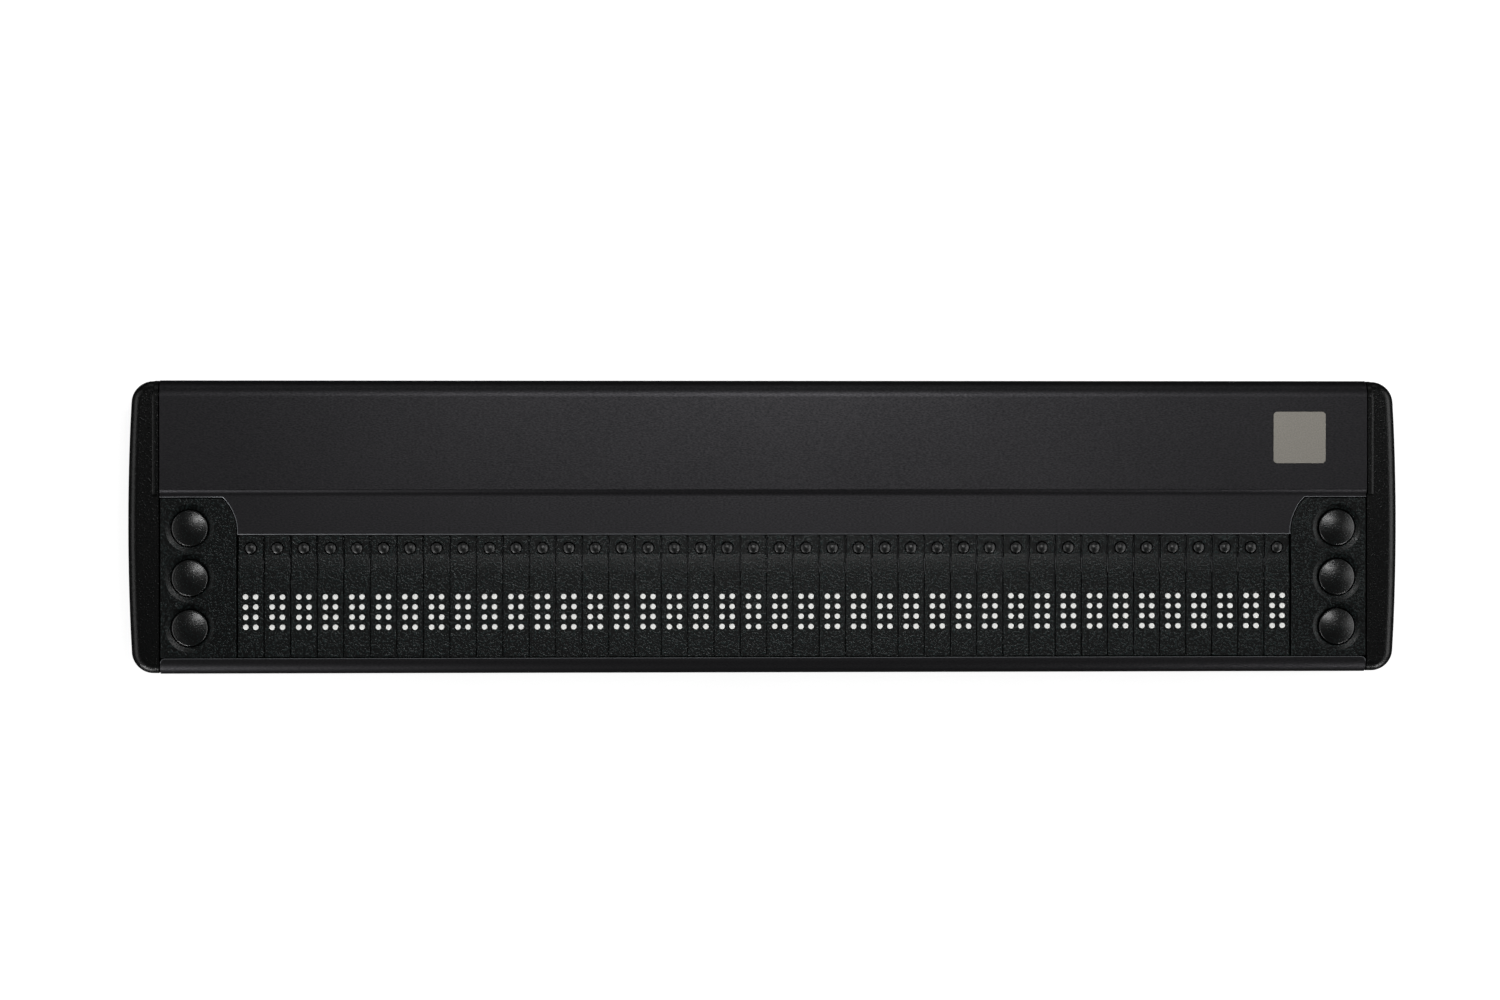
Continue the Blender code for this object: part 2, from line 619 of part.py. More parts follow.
def make_key_panel(side):
    """A key panel with three countersunk holes, and a flange under the deck and the rail."""
    name = f"{side_name(side)}_key_panel"
    inner, rear, corner = panel_corners(0)
    corners = [(inner, PANEL_FRONT_Y, 0), (PANEL_OUTER_X, PANEL_FRONT_Y, 0),
               (PANEL_OUTER_X, rear, 0), *corner]
    outline = mirrored(rounded(corners), side)
    height = PANEL_TOP_Z - PANEL_BOTTOM_Z
    middle_z = (PANEL_TOP_Z + PANEL_BOTTOM_Z) / 2
    panel = new_object(name, extruded(name, [outline], height), (0, 0, middle_z))
    flange_box = across(
        side, PANEL_INNER_X + PANEL_CHAMFER, PANEL_OUTER_X - SEAT_GAP,
        (PANEL_FRONT_Y - PANEL_FLANGE, PANEL_BOTTOM_Z + JOIN_DEPTH),
        (PANEL_REAR_Y + PANEL_FLANGE, PANEL_FLANGE_TOP_Z),
    )
    combine(panel, new_tool(f"{name}_flange", boxes("flange", [flange_box])), "UNION")

    over, under = PANEL_TOP_Z + COUNTERSINK_DEPTH, PANEL_BOTTOM_Z - CUT_OVERRUN
    profile = [
        (0, over), (COUNTERSINK_RADIUS + COUNTERSINK_RUN, over),
        (CONTROL_HOLE_RADIUS, PANEL_TOP_Z - COUNTERSINK_DEPTH), (CONTROL_HOLE_RADIUS, under),
        (0, under),
    ]
    for row in range(CONTROL_ROWS):
        place = (side * CONTROL_X, control_y(row), 0)
        cutter = new_tool(f"{name}_hole_{row + 1}", profile_mesh("countersink", profile), place)
        add_turn(cutter, KEY_SIDES)
        combine(panel, cutter, "DIFFERENCE")
    paint(panel, BLACK_PLASTIC)


def make_control_keys():
    """Six domed keys, each with a flange under its panel and a stem down to its switch."""
    dome_radius = (CONTROL_RADIUS**2 + CONTROL_DOME**2) / (2 * CONTROL_DOME)
    slope = math.asin(CONTROL_RADIUS / dome_radius)
    centre_z = CONTROL_RIM_Z + CONTROL_DOME - dome_radius
    angles = [slope * step / (SMALL_ARC_STEPS + 1) for step in range(SMALL_ARC_STEPS + 2)]
    dome = [(dome_radius * math.sin(a), centre_z + dome_radius * math.cos(a)) for a in angles]
    flange_radius = CONTROL_HOLE_RADIUS + CONTROL_FLANGE
    profile = dome + [
        (CONTROL_RADIUS, CONTROL_FLANGE_TOP_Z), (flange_radius, CONTROL_FLANGE_TOP_Z),
        (flange_radius, CONTROL_FLANGE_BOTTOM_Z),
        (CONTROL_STEM_RADIUS, CONTROL_FLANGE_BOTTOM_Z),
        (CONTROL_STEM_RADIUS, CONTROL_BOTTOM_Z), (0, CONTROL_BOTTOM_Z),
    ]
    for side in (-1, 1):
        for row, word in enumerate(("rear", "middle", "front")):
            place = (side * CONTROL_X, control_y(row), 0)
            mesh = profile_mesh("control_key", profile)
            key = new_object(f"{side_name(side)}_{word}_key", mesh, place)
            add_turn(key, KEY_SIDES)
            paint(key, BLACK_PLASTIC)


def make_routing_keys():
    """One small domed key at the rear of each cell, with a flange under the caps."""
    top = CAP_TOP_Z + ROUTING_HEIGHT
    flange_radius = ROUTING_RADIUS + ROUTING_FLANGE
    profile = [
        (0, top), (ROUTING_RADIUS, top - ROUTING_DOME), (ROUTING_RADIUS, CARRIED_TOP_Z),
        (flange_radius, CARRIED_TOP_Z), (flange_radius, ROUTING_BOTTOM_Z), (0, ROUTING_BOTTOM_Z),
    ]
    for cell in range(CELL_COUNT):
        mesh = profile_mesh("routing_key", profile)
        key = new_object(f"routing_key_{cell + 1:02d}", mesh, (cell_x(cell), ROUTING_Y, 0))
        add_turn(key, ROUTING_SIDES)
        paint(key, BLACK_PLASTIC)


def dot_places(middle_y):
    """The places of one dot row's pins: two to each cell."""
    columns = (-DOT_PITCH / 2, DOT_PITCH / 2)
    return [(cell_x(cell) + column, middle_y) for cell in range(CELL_COUNT) for column in columns]


def dot_row_y(row):
    """The middle of a dot row, counted from the rear."""
    return FIRST_DOT_Y - row * DOT_PITCH


def make_dot_rows():
    """Four rows of raised pins, each row's pins joined by a rail below the caps."""
    rail_width = DOT_PITCH - RAIL_SPACING
    half_length = (BANK_LENGTH - CELL_PITCH + DOT_PITCH + rail_width) / 2
    pin_low = CARRIED_TOP_Z - JOIN_DEPTH
    pin_high = CAP_TOP_Z + DOT_HEIGHT
    for row in range(DOT_ROWS):
        low = (-half_length, -rail_width / 2, RAIL_BOTTOM_Z)
        high = (half_length, rail_width / 2, CARRIED_TOP_Z)
        place = (0, dot_row_y(row), 0)
        rail = new_object(f"dot_row_{row + 1}", boxes("rail", [(low, high)]), place)
        pins = upright_prisms("pins", dot_places(0), DOT_RADIUS, DOT_SIDES, pin_low, pin_high)
        combine(rail, new_tool(f"dot_row_{row + 1}_pins", pins, place), "UNION")
        paint(rail, WHITE_PLASTIC)


def make_cap_bank():
    """Forty cell caps side by side as one plate, with their seams, dot holes and key holes."""
    half_length = (BANK_LENGTH - SEAT_GAP) / 2
    front, rear = WINDOW_FRONT_Y + SEAT_GAP, WINDOW_REAR_Y - SEAT_GAP
    plate = [((-half_length, front, CAP_BOTTOM_Z), (half_length, rear, CAP_TOP_Z))]
    bank = new_object("cell_cap_bank", boxes("cell_cap_bank", plate))
    low, high = CAP_BOTTOM_Z - CUT_OVERRUN, CAP_TOP_Z + CUT_OVERRUN
    dots = [place for row in range(DOT_ROWS) for place in dot_places(dot_row_y(row))]
    hole_radius = DOT_RADIUS + DOT_CLEARANCE
    holes = upright_prisms("dot_holes", dots, hole_radius, DOT_SIDES, low, high)
    combine(bank, new_tool("dot_holes", holes), "DIFFERENCE")
    keys = [(cell_x(cell), ROUTING_Y) for cell in range(CELL_COUNT)]
    hole_radius = ROUTING_RADIUS + ROUTING_CLEARANCE
    holes = upright_prisms("routing_holes", keys, hole_radius, ROUTING_SIDES, low, high)
    combine(bank, new_tool("routing_holes", holes), "DIFFERENCE")
    seams = []
    for cell in range(CELL_COUNT - 1):
        x = cell_x(cell) + CELL_PITCH / 2
        seams.append((
            (x - SEAM_WIDTH / 2, front - CUT_OVERRUN, CAP_TOP_Z - SEAM_DEPTH),
            (x + SEAM_WIDTH / 2, rear + CUT_OVERRUN, high),
        ))
    combine(bank, new_tool("cap_seams", boxes("cap_seams", seams)), "DIFFERENCE")
    paint(bank, BLACK_PLASTIC)


def make_actuator_block():
    """The piezo modules side by side: shoulders under the caps, and troughs under the pins."""
    front = INNER_FRONT_Y + BOSS_WIDTH + 2 * SEAT_GAP
    rear = INNER_REAR_Y - BOSS_WIDTH - 2 * SEAT_GAP
    bottom = BOARD_TOP_Z + SEAT_GAP
    dot_floor = RAIL_BOTTOM_Z - DOT_HEIGHT - SEAT_GAP
    key_floor = ROUTING_BOTTOM_Z - ROUTING_TRAVEL - SEAT_GAP
    deck_top = LOWER_CEILING_Z - SEAT_GAP
    dot_reach = (DOT_PITCH - RAIL_SPACING) / 2 + 2 * SEAT_GAP
    key_reach = ROUTING_RADIUS + ROUTING_FLANGE + 2 * SEAT_GAP
    outline = [
        (front, bottom, 0), (rear, bottom, 0), (rear, deck_top, 0), (WINDOW_REAR_Y, deck_top, 0),
        (WINDOW_REAR_Y, CARRIED_TOP_Z, 0), (ROUTING_Y + key_reach, CARRIED_TOP_Z, 0),
        (ROUTING_Y + key_reach, key_floor, 0), (ROUTING_Y - key_reach, key_floor, 0),
        (ROUTING_Y - key_reach, CARRIED_TOP_Z, 0), (FIRST_DOT_Y + dot_reach, CARRIED_TOP_Z, 0),
        (FIRST_DOT_Y + dot_reach, dot_floor, 0), (LAST_DOT_Y - dot_reach, dot_floor, 0),
        (LAST_DOT_Y - dot_reach, CARRIED_TOP_Z, 0), (front, CARRIED_TOP_Z, 0),
    ]
    length = BANK_LENGTH - SEAT_GAP
    block = new_object("actuator_block", extruded("actuator_block", [rounded(outline)], length))
    turn_to_side(block)
    slots = []
    for cell in range(CELL_COUNT - 1):
        x = cell_x(cell) + CELL_PITCH / 2
        slots.append((
            (x - MODULE_SLOT_WIDTH / 2, WINDOW_REAR_Y + MODULE_SLOT_INSET,
             deck_top - MODULE_SLOT_DEPTH),
            (x + MODULE_SLOT_WIDTH / 2, rear + CUT_OVERRUN, deck_top + CUT_OVERRUN),
        ))
    combine(block, new_tool("module_slots", boxes("module_slots", slots)), "DIFFERENCE")
    paint(block, MODULE_GREY)


def make_circuit_board():
    """The main board on the housing's ledges, with switches, chip, converter and USB socket."""
    end_x = HOUSING_LENGTH / 2 - BOARD_END_INSET
    front, rear = INNER_FRONT_Y + SEAT_GAP, INNER_REAR_Y - SEAT_GAP
    socket_low, socket_high = socket_box()
    tab_x = -(END_CAP_OUTER_X - END_CAP_BULGE - END_CAP_WALL - TAB_END_INSET)
    tab_front, tab_rear = socket_low[1] - TAB_MARGIN, socket_high[1] + TAB_MARGIN
    corners = [
        (-end_x, front, 0), (end_x, front, 0), (end_x, rear, 0), (-end_x, rear, 0),
        (-end_x, tab_rear, 0), (tab_x, tab_rear, 0), (tab_x, tab_front, 0), (-end_x, tab_front, 0),
    ]
    middle_z = (BOARD_BOTTOM_Z + BOARD_TOP_Z) / 2
    mesh = extruded("circuit_board", [rounded(corners)], BOARD_THICKNESS)
    board = new_object("circuit_board", mesh, (0, 0, middle_z))

    base = BOARD_TOP_Z - JOIN_DEPTH
    half = SWITCH_WIDTH / 2
    parts = [(socket_low, socket_high)]
    for side in (-1, 1):
        for row in range(CONTROL_ROWS):
            x, y = side * CONTROL_X, control_y(row)
            parts.append(((x - half, y - half, base), (x + half, y + half, SWITCH_TOP_Z)))
    bay_x = PANEL_INNER_X + COMPONENT_INSET
    component_rear = rear - BOSS_WIDTH - COMPONENT_INSET
    parts.append(across(
        -1, bay_x, bay_x + CHIP_WIDTH, (component_rear - CHIP_WIDTH, base),
        (component_rear, BOARD_TOP_Z + CHIP_HEIGHT),
    ))
    parts.append(across(
        1, bay_x, bay_x + CONVERTER_WIDTH, (component_rear - CONVERTER_WIDTH, base),
        (component_rear, BOARD_TOP_Z + CONVERTER_HEIGHT),
    ))
    combine(board, new_tool("board_parts", boxes("board_parts", parts)), "UNION")

    mouth_x, middle_y = socket_low[0], (socket_low[1] + socket_high[1]) / 2
    middle_z = BOARD_TOP_Z + SOCKET_HEIGHT / 2
    half_width = SOCKET_WIDTH / 2 - SOCKET_WALL
    half_height = SOCKET_HEIGHT / 2 - SOCKET_WALL
    cavity = (
        (mouth_x - CUT_OVERRUN, middle_y - half_width, middle_z - half_height),
        (mouth_x + SOCKET_DEPTH, middle_y + half_width, middle_z + half_height),
    )
    combine(board, new_tool("socket_cavity", boxes("socket_cavity", [cavity])), "DIFFERENCE")
    half_width, half_height = SOCKET_TONGUE_WIDTH / 2, SOCKET_TONGUE_THICKNESS / 2
    end_x = mouth_x + SOCKET_DEPTH
    tongue = (
        (end_x - SOCKET_TONGUE_LENGTH, middle_y - half_width, middle_z - half_height),
        (end_x + JOIN_DEPTH, middle_y + half_width, middle_z + half_height),
    )
    combine(board, new_tool("socket_tongue", boxes("socket_tongue", [tongue])), "UNION")
    paint(board, BOARD_GREEN)


def make_display():
    """All pieces of the braille display."""
    make_housing()
    make_feet()
    for side in (-1, 1):
        make_end_cap(side)
        make_key_panel(side)
    make_control_keys()
    make_circuit_board()
    make_actuator_block()
    make_cap_bank()
    make_dot_rows()
    make_routing_keys()


clear_scene()
PARTS = new_collection("braille_display")
TOOLS = new_collection("cutters")
make_display()
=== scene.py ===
"""Looks of a forty-cell braille display: fine shapes, finishes, light and camera.

Lengths are in metres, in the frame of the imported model: +X runs to the reader's right, +Y away
from the reader and +Z up. Every piece takes its place from the model's own boxes.
"""

import logging
import math
import random
from collections.abc import Iterable, Sequence
from dataclasses import dataclass
from enum import Enum

import bmesh
import bpy
from bmesh.types import BMEdge, BMesh, BMFace, BMVert
from mathutils import Matrix, Vector


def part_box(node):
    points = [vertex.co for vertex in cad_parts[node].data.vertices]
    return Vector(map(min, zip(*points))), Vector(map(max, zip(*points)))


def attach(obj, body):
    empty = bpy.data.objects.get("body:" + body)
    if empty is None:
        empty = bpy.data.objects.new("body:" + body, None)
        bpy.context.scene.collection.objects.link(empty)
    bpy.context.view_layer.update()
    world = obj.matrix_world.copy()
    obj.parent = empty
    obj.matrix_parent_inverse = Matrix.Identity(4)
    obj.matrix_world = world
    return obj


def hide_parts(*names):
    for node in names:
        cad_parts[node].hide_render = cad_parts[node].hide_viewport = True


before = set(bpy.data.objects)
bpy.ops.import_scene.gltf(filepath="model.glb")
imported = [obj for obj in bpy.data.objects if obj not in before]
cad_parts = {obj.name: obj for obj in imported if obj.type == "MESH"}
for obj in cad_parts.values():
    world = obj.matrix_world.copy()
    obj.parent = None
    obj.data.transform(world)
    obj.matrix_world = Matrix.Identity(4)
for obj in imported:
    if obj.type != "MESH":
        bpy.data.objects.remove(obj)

LOG = logging.getLogger("braille_display")
MM = 0.001
CHASSIS = "chassis"
# Points nearer to each other than this are one point.
WELD = 0.002 * MM
# How far a cutter passes the face that it cuts through.
OVERRUN = 1.0 * MM
# The room between the housing's ends and the end caps.
CAP_GAP = 0.3 * MM
# Usual length of a rounding's segments, and the fewest segments that a rounding has.
FACET = 0.3 * MM
LEAST_STEPS = 4
# The noise values that an even pattern spreads from nought to one, the finer layers of the grain
# and of the mottle, and each layer's strength as a share of the one before.
EVEN_NOISE = (0.3, 0.7)
GRAIN_DETAIL, MOTTLE_DETAIL = 2.0, 3.0
LAYER_SHARE = 0.55
KEY_WORDS = ("rear", "middle", "front")
Corner = tuple[float, float, float]
Colour = tuple[float, float, float, float]
Element = BMVert | BMEdge | BMFace


class Side(Enum):
    """An end of the display."""

    LEFT = -1
    RIGHT = 1

    @property
    def word(self) -> str:
        """The end's word in piece names."""
        return self.name.lower()


class Work(Enum):
    """What a tool shape does to a piece."""

    CUT = "DIFFERENCE"
    JOIN = "UNION"


def linear(hex_colour: str) -> Colour:
    """Turns an sRGB hex colour into linear light.

    Args:
        hex_colour: Six hex digits after a hash sign.

    Returns:
        Red, green, blue and an alpha of one.
    """
    channels = [int(hex_colour[place : place + 2], 16) / 255 for place in (1, 3, 5)]
    curved = [c / 12.92 if c <= 0.04045 else ((c + 0.055) / 1.055) ** 2.4 for c in channels]
    return (*curved, 1.0)


def add_node(
    tree: bpy.types.NodeTree, kind: str, settings: dict | None = None, inputs: dict | None = None
) -> bpy.types.Node:
    """Adds one node to a material, sets it and links what feeds it.

    Args:
        tree: The material's node tree.
        kind: Blender's type name of the node.
        settings: Attributes of the node and their values.
        inputs: Input names or numbers, each with a value or with the output that feeds it.

    Returns:
        The new node.
    """
    node = tree.nodes.new(kind)
    for name, value in (settings or {}).items():
        setattr(node, name, value)
    for key, value in (inputs or {}).items():
        if isinstance(value, bpy.types.NodeSocket):
            tree.links.new(value, node.inputs[key])
        else:
            node.inputs[key].default_value = value
    return node


@dataclass(frozen=True)
class Finish:
    """A finish: two tones of one colour, a fine grain with relief, and a slow mottle.

    Attributes:
        name: What the material is and how it was made.
        dark: Colour of the grain's hollows.
        light: Colour of the grain's tops.
        roughness: Middle roughness.
        grain: Distance between grains.
        relief: Height of the grain.
        roughness_spread: How far the roughness swings from hollow to top.
        mottle: Distance between the cloudy patches.
        mottle_share: The mottle's share of the tone.
        metallic: One for a metal.
        ior: Index of refraction.
        specular: Specular level, under a half where a deep texture swallows the sheen.
        glow: Light that the surface gives off by itself.
        threshold: Where the grain's values start and end, later for sparse specks of painted glint.
        stretch: Scale of the grain along each axis, above one where it is finer.
    """

    name: str
    dark: str
    light: str
    roughness: float
    grain: float
    relief: float
    roughness_spread: float = 0.06
    mottle: float = 18 * MM
    mottle_share: float = 0.35
    metallic: float = 0.0
    ior: float = 1.5
    specular: float = 0.5
    glow: float = 0.0
    threshold: tuple[float, float] = EVEN_NOISE
    stretch: tuple[float, float, float] = (1.0, 1.0, 1.0)

    def noise(
        self, tree: bpy.types.NodeTree, place: bpy.types.NodeSocket, size: float, detail: float,
        limits: tuple[float, float] = EVEN_NOISE,
    ) -> bpy.types.NodeSocket:
        """A noise pattern spread over the whole range from nought to one.

        Args:
            tree: The material's node tree.
            place: The coordinates that the pattern reads.
            size: Distance between the pattern's lumps.
            detail: How many finer layers it has.
            limits: The noise values that become nought and one.

        Returns:
            The pattern's value.
        """
        lumps = add_node(tree, "ShaderNodeTexNoise", inputs={
            "Vector": place, "Scale": 1 / size, "Detail": detail, "Roughness": LAYER_SHARE,
        })
        return add_node(tree, "ShaderNodeMapRange", inputs={
            "Value": lumps.outputs["Fac"], "From Min": limits[0], "From Max": limits[1],
        }).outputs["Result"]

    def material(self) -> bpy.types.Material:
        """Builds the finish's material, once for each name.

        Returns:
            The material.
        """
        known = bpy.data.materials.get(self.name)
        if known:
            return known
        material = bpy.data.materials.new(self.name)
        material.use_nodes = True
        tree = material.node_tree
        shader = tree.nodes["Principled BSDF"]
        shader.inputs["Metallic"].default_value = self.metallic
        shader.inputs["IOR"].default_value = self.ior
        shader.inputs["Specular IOR Level"].default_value = self.specular
        shader.inputs["Emission Color"].default_value = linear("#ffffff")
        shader.inputs["Emission Strength"].default_value = self.glow
        place = add_node(tree, "ShaderNodeTexCoord").outputs["Object"]
        stretched = add_node(
            tree, "ShaderNodeMapping", inputs={"Vector": place, "Scale": self.stretch}
        ).outputs["Vector"]
        grain = self.noise(tree, stretched, self.grain, GRAIN_DETAIL, self.threshold)
        mottle = self.noise(tree, place, self.mottle, MOTTLE_DETAIL)
        tone = add_node(tree, "ShaderNodeMix", {"data_type": "FLOAT"}, {
            0: self.mottle_share, 2: grain, 3: mottle,
        }).outputs[0]
        colour = add_node(tree, "ShaderNodeMix", {"data_type": "RGBA"}, {
            0: tone, 6: linear(self.dark), 7: linear(self.light),
        }).outputs[2]
        rough = add_node(tree, "ShaderNodeMapRange", inputs={
            "Value": tone, "To Min": self.roughness + self.roughness_spread,
            "To Max": self.roughness - self.roughness_spread,
        }).outputs["Result"]
        bump = add_node(
            tree, "ShaderNodeBump", inputs={"Distance": self.relief, "Height": grain}
        ).outputs["Normal"]
        tree.links.new(colour, shader.inputs["Base Color"])
        tree.links.new(rough, shader.inputs["Roughness"])
        tree.links.new(bump, shader.inputs["Normal"])
        return material


# Extruded aluminium, bead blasted and anodised dark: a fine dull sparkle, drawn a little coarser
# than the real blast so that it shows at this distance.
ANODISED = Finish(
    "anodised_blasted_aluminium", "#272729", "#3d3c3e", 0.45, 0.25 * MM, 0.009 * MM,
    metallic=1.0, mottle=40 * MM, mottle_share=0.15, stretch=(0.4, 1.0, 1.0),
)
# The same metal where the cutter went through after anodising: brighter and smoother.
CUT_ALUMINIUM = Finish(
    "machined_aluminium_edge", "#6f7174", "#808285", 0.6, 0.3 * MM, 0.002 * MM, metallic=1.0,
)
# ABS from a spark-eroded mould: black, with a fine pebble whose tops hold sparse pale specks,
# painted glints. The pebble is drawn a little coarser than the real one so that it shows.
SPARK_ABS = Finish(
    "spark_textured_abs", "#010101", "#1e2626", 0.29, 0.5 * MM, 0.035 * MM, specular=0.23,
    roughness_spread=0.08, mottle_share=0.08, threshold=(0.5, 0.66),
)
# The same ABS in the end caps' deeper, duller texture, with fainter painted glints as pale specks.
DEEP_SPARK_ABS = Finish(
    "deep_spark_textured_abs", "#010101", "#080a0a", 0.27, 0.5 * MM, 0.02 * MM, specular=0.28,
    roughness_spread=0.06, mottle_share=0.1, threshold=(0.5, 0.66),
)
# The cell caps' plastic, satin from handling, with the same painted glints as sparse pale specks.
SATIN_ABS = Finish(
    "satin_abs", "#010101", "#202929", 0.29, 0.5 * MM, 0.035 * MM, specular=0.28,
    roughness_spread=0.08, mottle_share=0.08, threshold=(0.5, 0.66),
)
# The routing keys' plastic, finely blasted, so that lights show on it as broad patches.
# Its sparse pale specks are painted glints.
BLASTED_ABS = Finish(
    "finely_blasted_abs", "#010101", "#0e1212", 0.33, 0.45 * MM, 0.012 * MM, specular=0.5,
    roughness_spread=0.06, mottle_share=0.08, threshold=(0.5, 0.66),
)
# The control keys' plastic, shinier where fingertips polish it.
# Its sparse pale specks are painted glints.
POLISHED_ABS = Finish(
    "finger_polished_abs", "#010101", "#121818", 0.25, 0.45 * MM, 0.014 * MM, specular=0.54,
    roughness_spread=0.06, mottle_share=0.08, threshold=(0.54, 0.66),
)
# Acetal pins, white and a little waxy.
ACETAL = Finish("white_acetal", "#eeefec", "#f7f7f4", 0.38, 0.25 * MM, 0.002 * MM, ior=1.48)
# Moulded rubber, dull and faintly dusty.
RUBBER = Finish("moulded_rubber", "#161616", "#2b2b2a", 0.85, 0.5 * MM, 0.03 * MM, ior=1.52)
# Epoxy board under green solder mask.
SOLDER_MASK = Finish("solder_mask_board", "#0d3a20", "#17502c", 0.38, 1.2 * MM, 0.01 * MM)
# Screws in blackened zinc, the recess a little worn.
BLACK_ZINC = Finish(
    "black_zinc_steel", "#2a2a2b", "#4a4a4c", 0.38, 0.2 * MM, 0.004 * MM, metallic=1.0,
)
# Drawn steel shell of the socket, nickel plated.
NICKEL = Finish(
    "nickel_plated_shell", "#a8a6a0", "#c2c0ba", 0.28, 0.25 * MM, 0.002 * MM, metallic=1.0,
    stretch=(0.2, 1.0, 1.0),
)
# Glass-filled polyester of the actuator modules, grey and dull.
FILLED_PBT = Finish("glass_filled_polyester", "#6d6f71", "#85878a", 0.6, 0.6 * MM, 0.02 * MM)
# Epoxy of the chips and switches, and the like black plastic of the socket's tongue.
MOULDED_EPOXY = Finish("moulded_epoxy", "#151515", "#232323", 0.5, 0.3 * MM, 0.01 * MM)
# Aluminium plate, anodised a pale champagne over a fine satin grain.
CHAMPAGNE_PLATE = Finish(
    "champagne_anodised_plate", "#898680", "#9f9b93", 0.5, 0.3 * MM, 0.004 * MM, metallic=1.0,
    mottle_share=0.2,
)
# Opal acrylic of a light table, matt, lit softly from below.
PALE_FLOOR = Finish(
    "pale_light_table", "#c8c8c8", "#cfcfcf", 0.9, 30 * MM, 0.0, mottle=200 * MM, glow=0.75,
)


def polygon(corners: Sequence[Corner], facet: float = FACET) -> BMesh:
    """A flat face in the XY plane whose corners are rounded.

    Args:
        corners: Each corner's x, y and how far its rounding reaches along the sides.
        facet: About the length of a rounding's segments.

    Returns:
        The shape with its one face.
    """
    shape = bmesh.new()
    verts = [shape.verts.new((x, y, 0)) for x, y, _ in corners]
    shape.faces.new(verts)
    for vert, (_, _, reach) in zip(verts, corners):
        if reach:
            bmesh.ops.bevel(
                shape, geom=[vert], offset=reach, profile=0.5,
                segments=max(LEAST_STEPS, round(reach / facet)),
                affect="VERTICES", material=-1,
            )
    return shape


def rectangle(
    low: Sequence[float], high: Sequence[float], reach: float, facet: float = FACET
) -> BMesh:
    """A flat rectangle with four equal round corners.

    Args:
        low: Its lowest corner.
        high: Its highest corner.
        reach: How far each rounding reaches along the sides.
        facet: About the length of a rounding's segments.

    Returns:
        The shape with its one face.
    """
    left, near, right, far = low[0], low[1], high[0], high[1]
    corners = [(left, near, reach), (right, near, reach), (right, far, reach), (left, far, reach)]
    return polygon(corners, facet)


def of_kind(items: Iterable[Element], kind: type[Element]) -> list[Element]:
    """The points, edges or faces out of what a mesh operator made."""
    return [item for item in items if isinstance(item, kind)]


def pulled(shape: BMesh, faces: Sequence[BMFace], reach: Corner) -> list[BMFace]:
    """Extrudes faces of a shape.

    Args:
        shape: The shape.
        faces: The faces to pull.
        reach: How far and where to.

    Returns:
        The faces at the far end.
    """
    made = bmesh.ops.extrude_face_region(shape, geom=faces)["geom"]
    bmesh.ops.translate(shape, verts=of_kind(made, BMVert), vec=reach)
    return of_kind(made, BMFace)


def raise_up(shape: BMesh, low: float, high: float) -> BMesh:
    """Extrudes a flat shape into a closed body between two heights.

    Args:
        shape: The flat shape at height nought.
        low: Height of its underside.
        high: Height of its top.

    Returns:
        The same shape.
    """
    pulled(shape, shape.faces[:], (0, 0, high - low))
    bmesh.ops.translate(shape, verts=shape.verts, vec=(0, 0, low))
    bmesh.ops.recalc_face_normals(shape, faces=shape.faces)
    return shape


def face_along_x(shape: BMesh) -> BMesh:
    """Turns a shape drawn as (y, z, x) to its place, so that an outline runs along X.

    Args:
        shape: The drawn shape.

    Returns:
        The same shape.
    """
    turn = Matrix(((0, 0, 1, 0), (1, 0, 0, 0), (0, 1, 0, 0), (0, 0, 0, 1)))
    bmesh.ops.transform(shape, matrix=turn, verts=shape.verts)
    return shape


def box(low: Sequence[float], high: Sequence[float]) -> BMesh:
    """A box between two corners.

    Args:
        low: Its lowest corner.
        high: Its highest corner.

    Returns:
        The box.
    """
    low, high = Vector(low), Vector(high)
    shape = bmesh.new()
    bmesh.ops.create_cube(
        shape, size=1, matrix=Matrix.LocRotScale((low + high) / 2, None, high - low)
    )
    return shape


def turned(profile: Sequence[tuple[float, float]], steps: int) -> BMesh:
    """Spins half a section about Z into a closed round body.

    Args:
        profile: Points of radius and height, from one end of the axis to the other.
        steps: Sides of the body.

    Returns:
        The body.
    """
    shape = bmesh.new()
    verts = [shape.verts.new((radius, 0, z)) for radius, z in profile]
    edges = [shape.edges.new(pair) for pair in zip(verts, verts[1:])]
    bmesh.ops.spin(
        shape, geom=verts + edges, cent=(0, 0, 0), axis=(0, 0, 1), angle=math.tau,
        steps=steps, use_merge=True,
    )
    bmesh.ops.remove_doubles(shape, verts=shape.verts, dist=WELD)
    bmesh.ops.recalc_face_normals(shape, faces=shape.faces)
    return shape


def moved(shape: BMesh, place: Sequence[float]) -> BMesh:
    """Moves a shape by a vector and returns it."""
    bmesh.ops.translate(shape, verts=shape.verts, vec=place)
    return shape


def gathered(shapes: Iterable[BMesh]) -> BMesh:
    """Gathers several shapes into one and frees them.

    Args:
        shapes: The shapes, each in its place.

    Returns:
        One shape with all of them.
    """
    whole = bmesh.new()
    carrier = bpy.data.meshes.new("carrier")
    for shape in shapes:
        shape.to_mesh(carrier)
        shape.free()
        whole.from_mesh(carrier)
    bpy.data.meshes.remove(carrier)
    return whole


def repeated(shape: BMesh, places: Iterable[Vector]) -> BMesh:
    """Copies a shape to each of many places.

    Args:
        shape: The shape at the origin, which is freed.
        places: Where the copies go.

    Returns:
        One shape with all copies.
    """
    copies = gathered(moved(shape.copy(), place) for place in places)
    shape.free()
    return copies


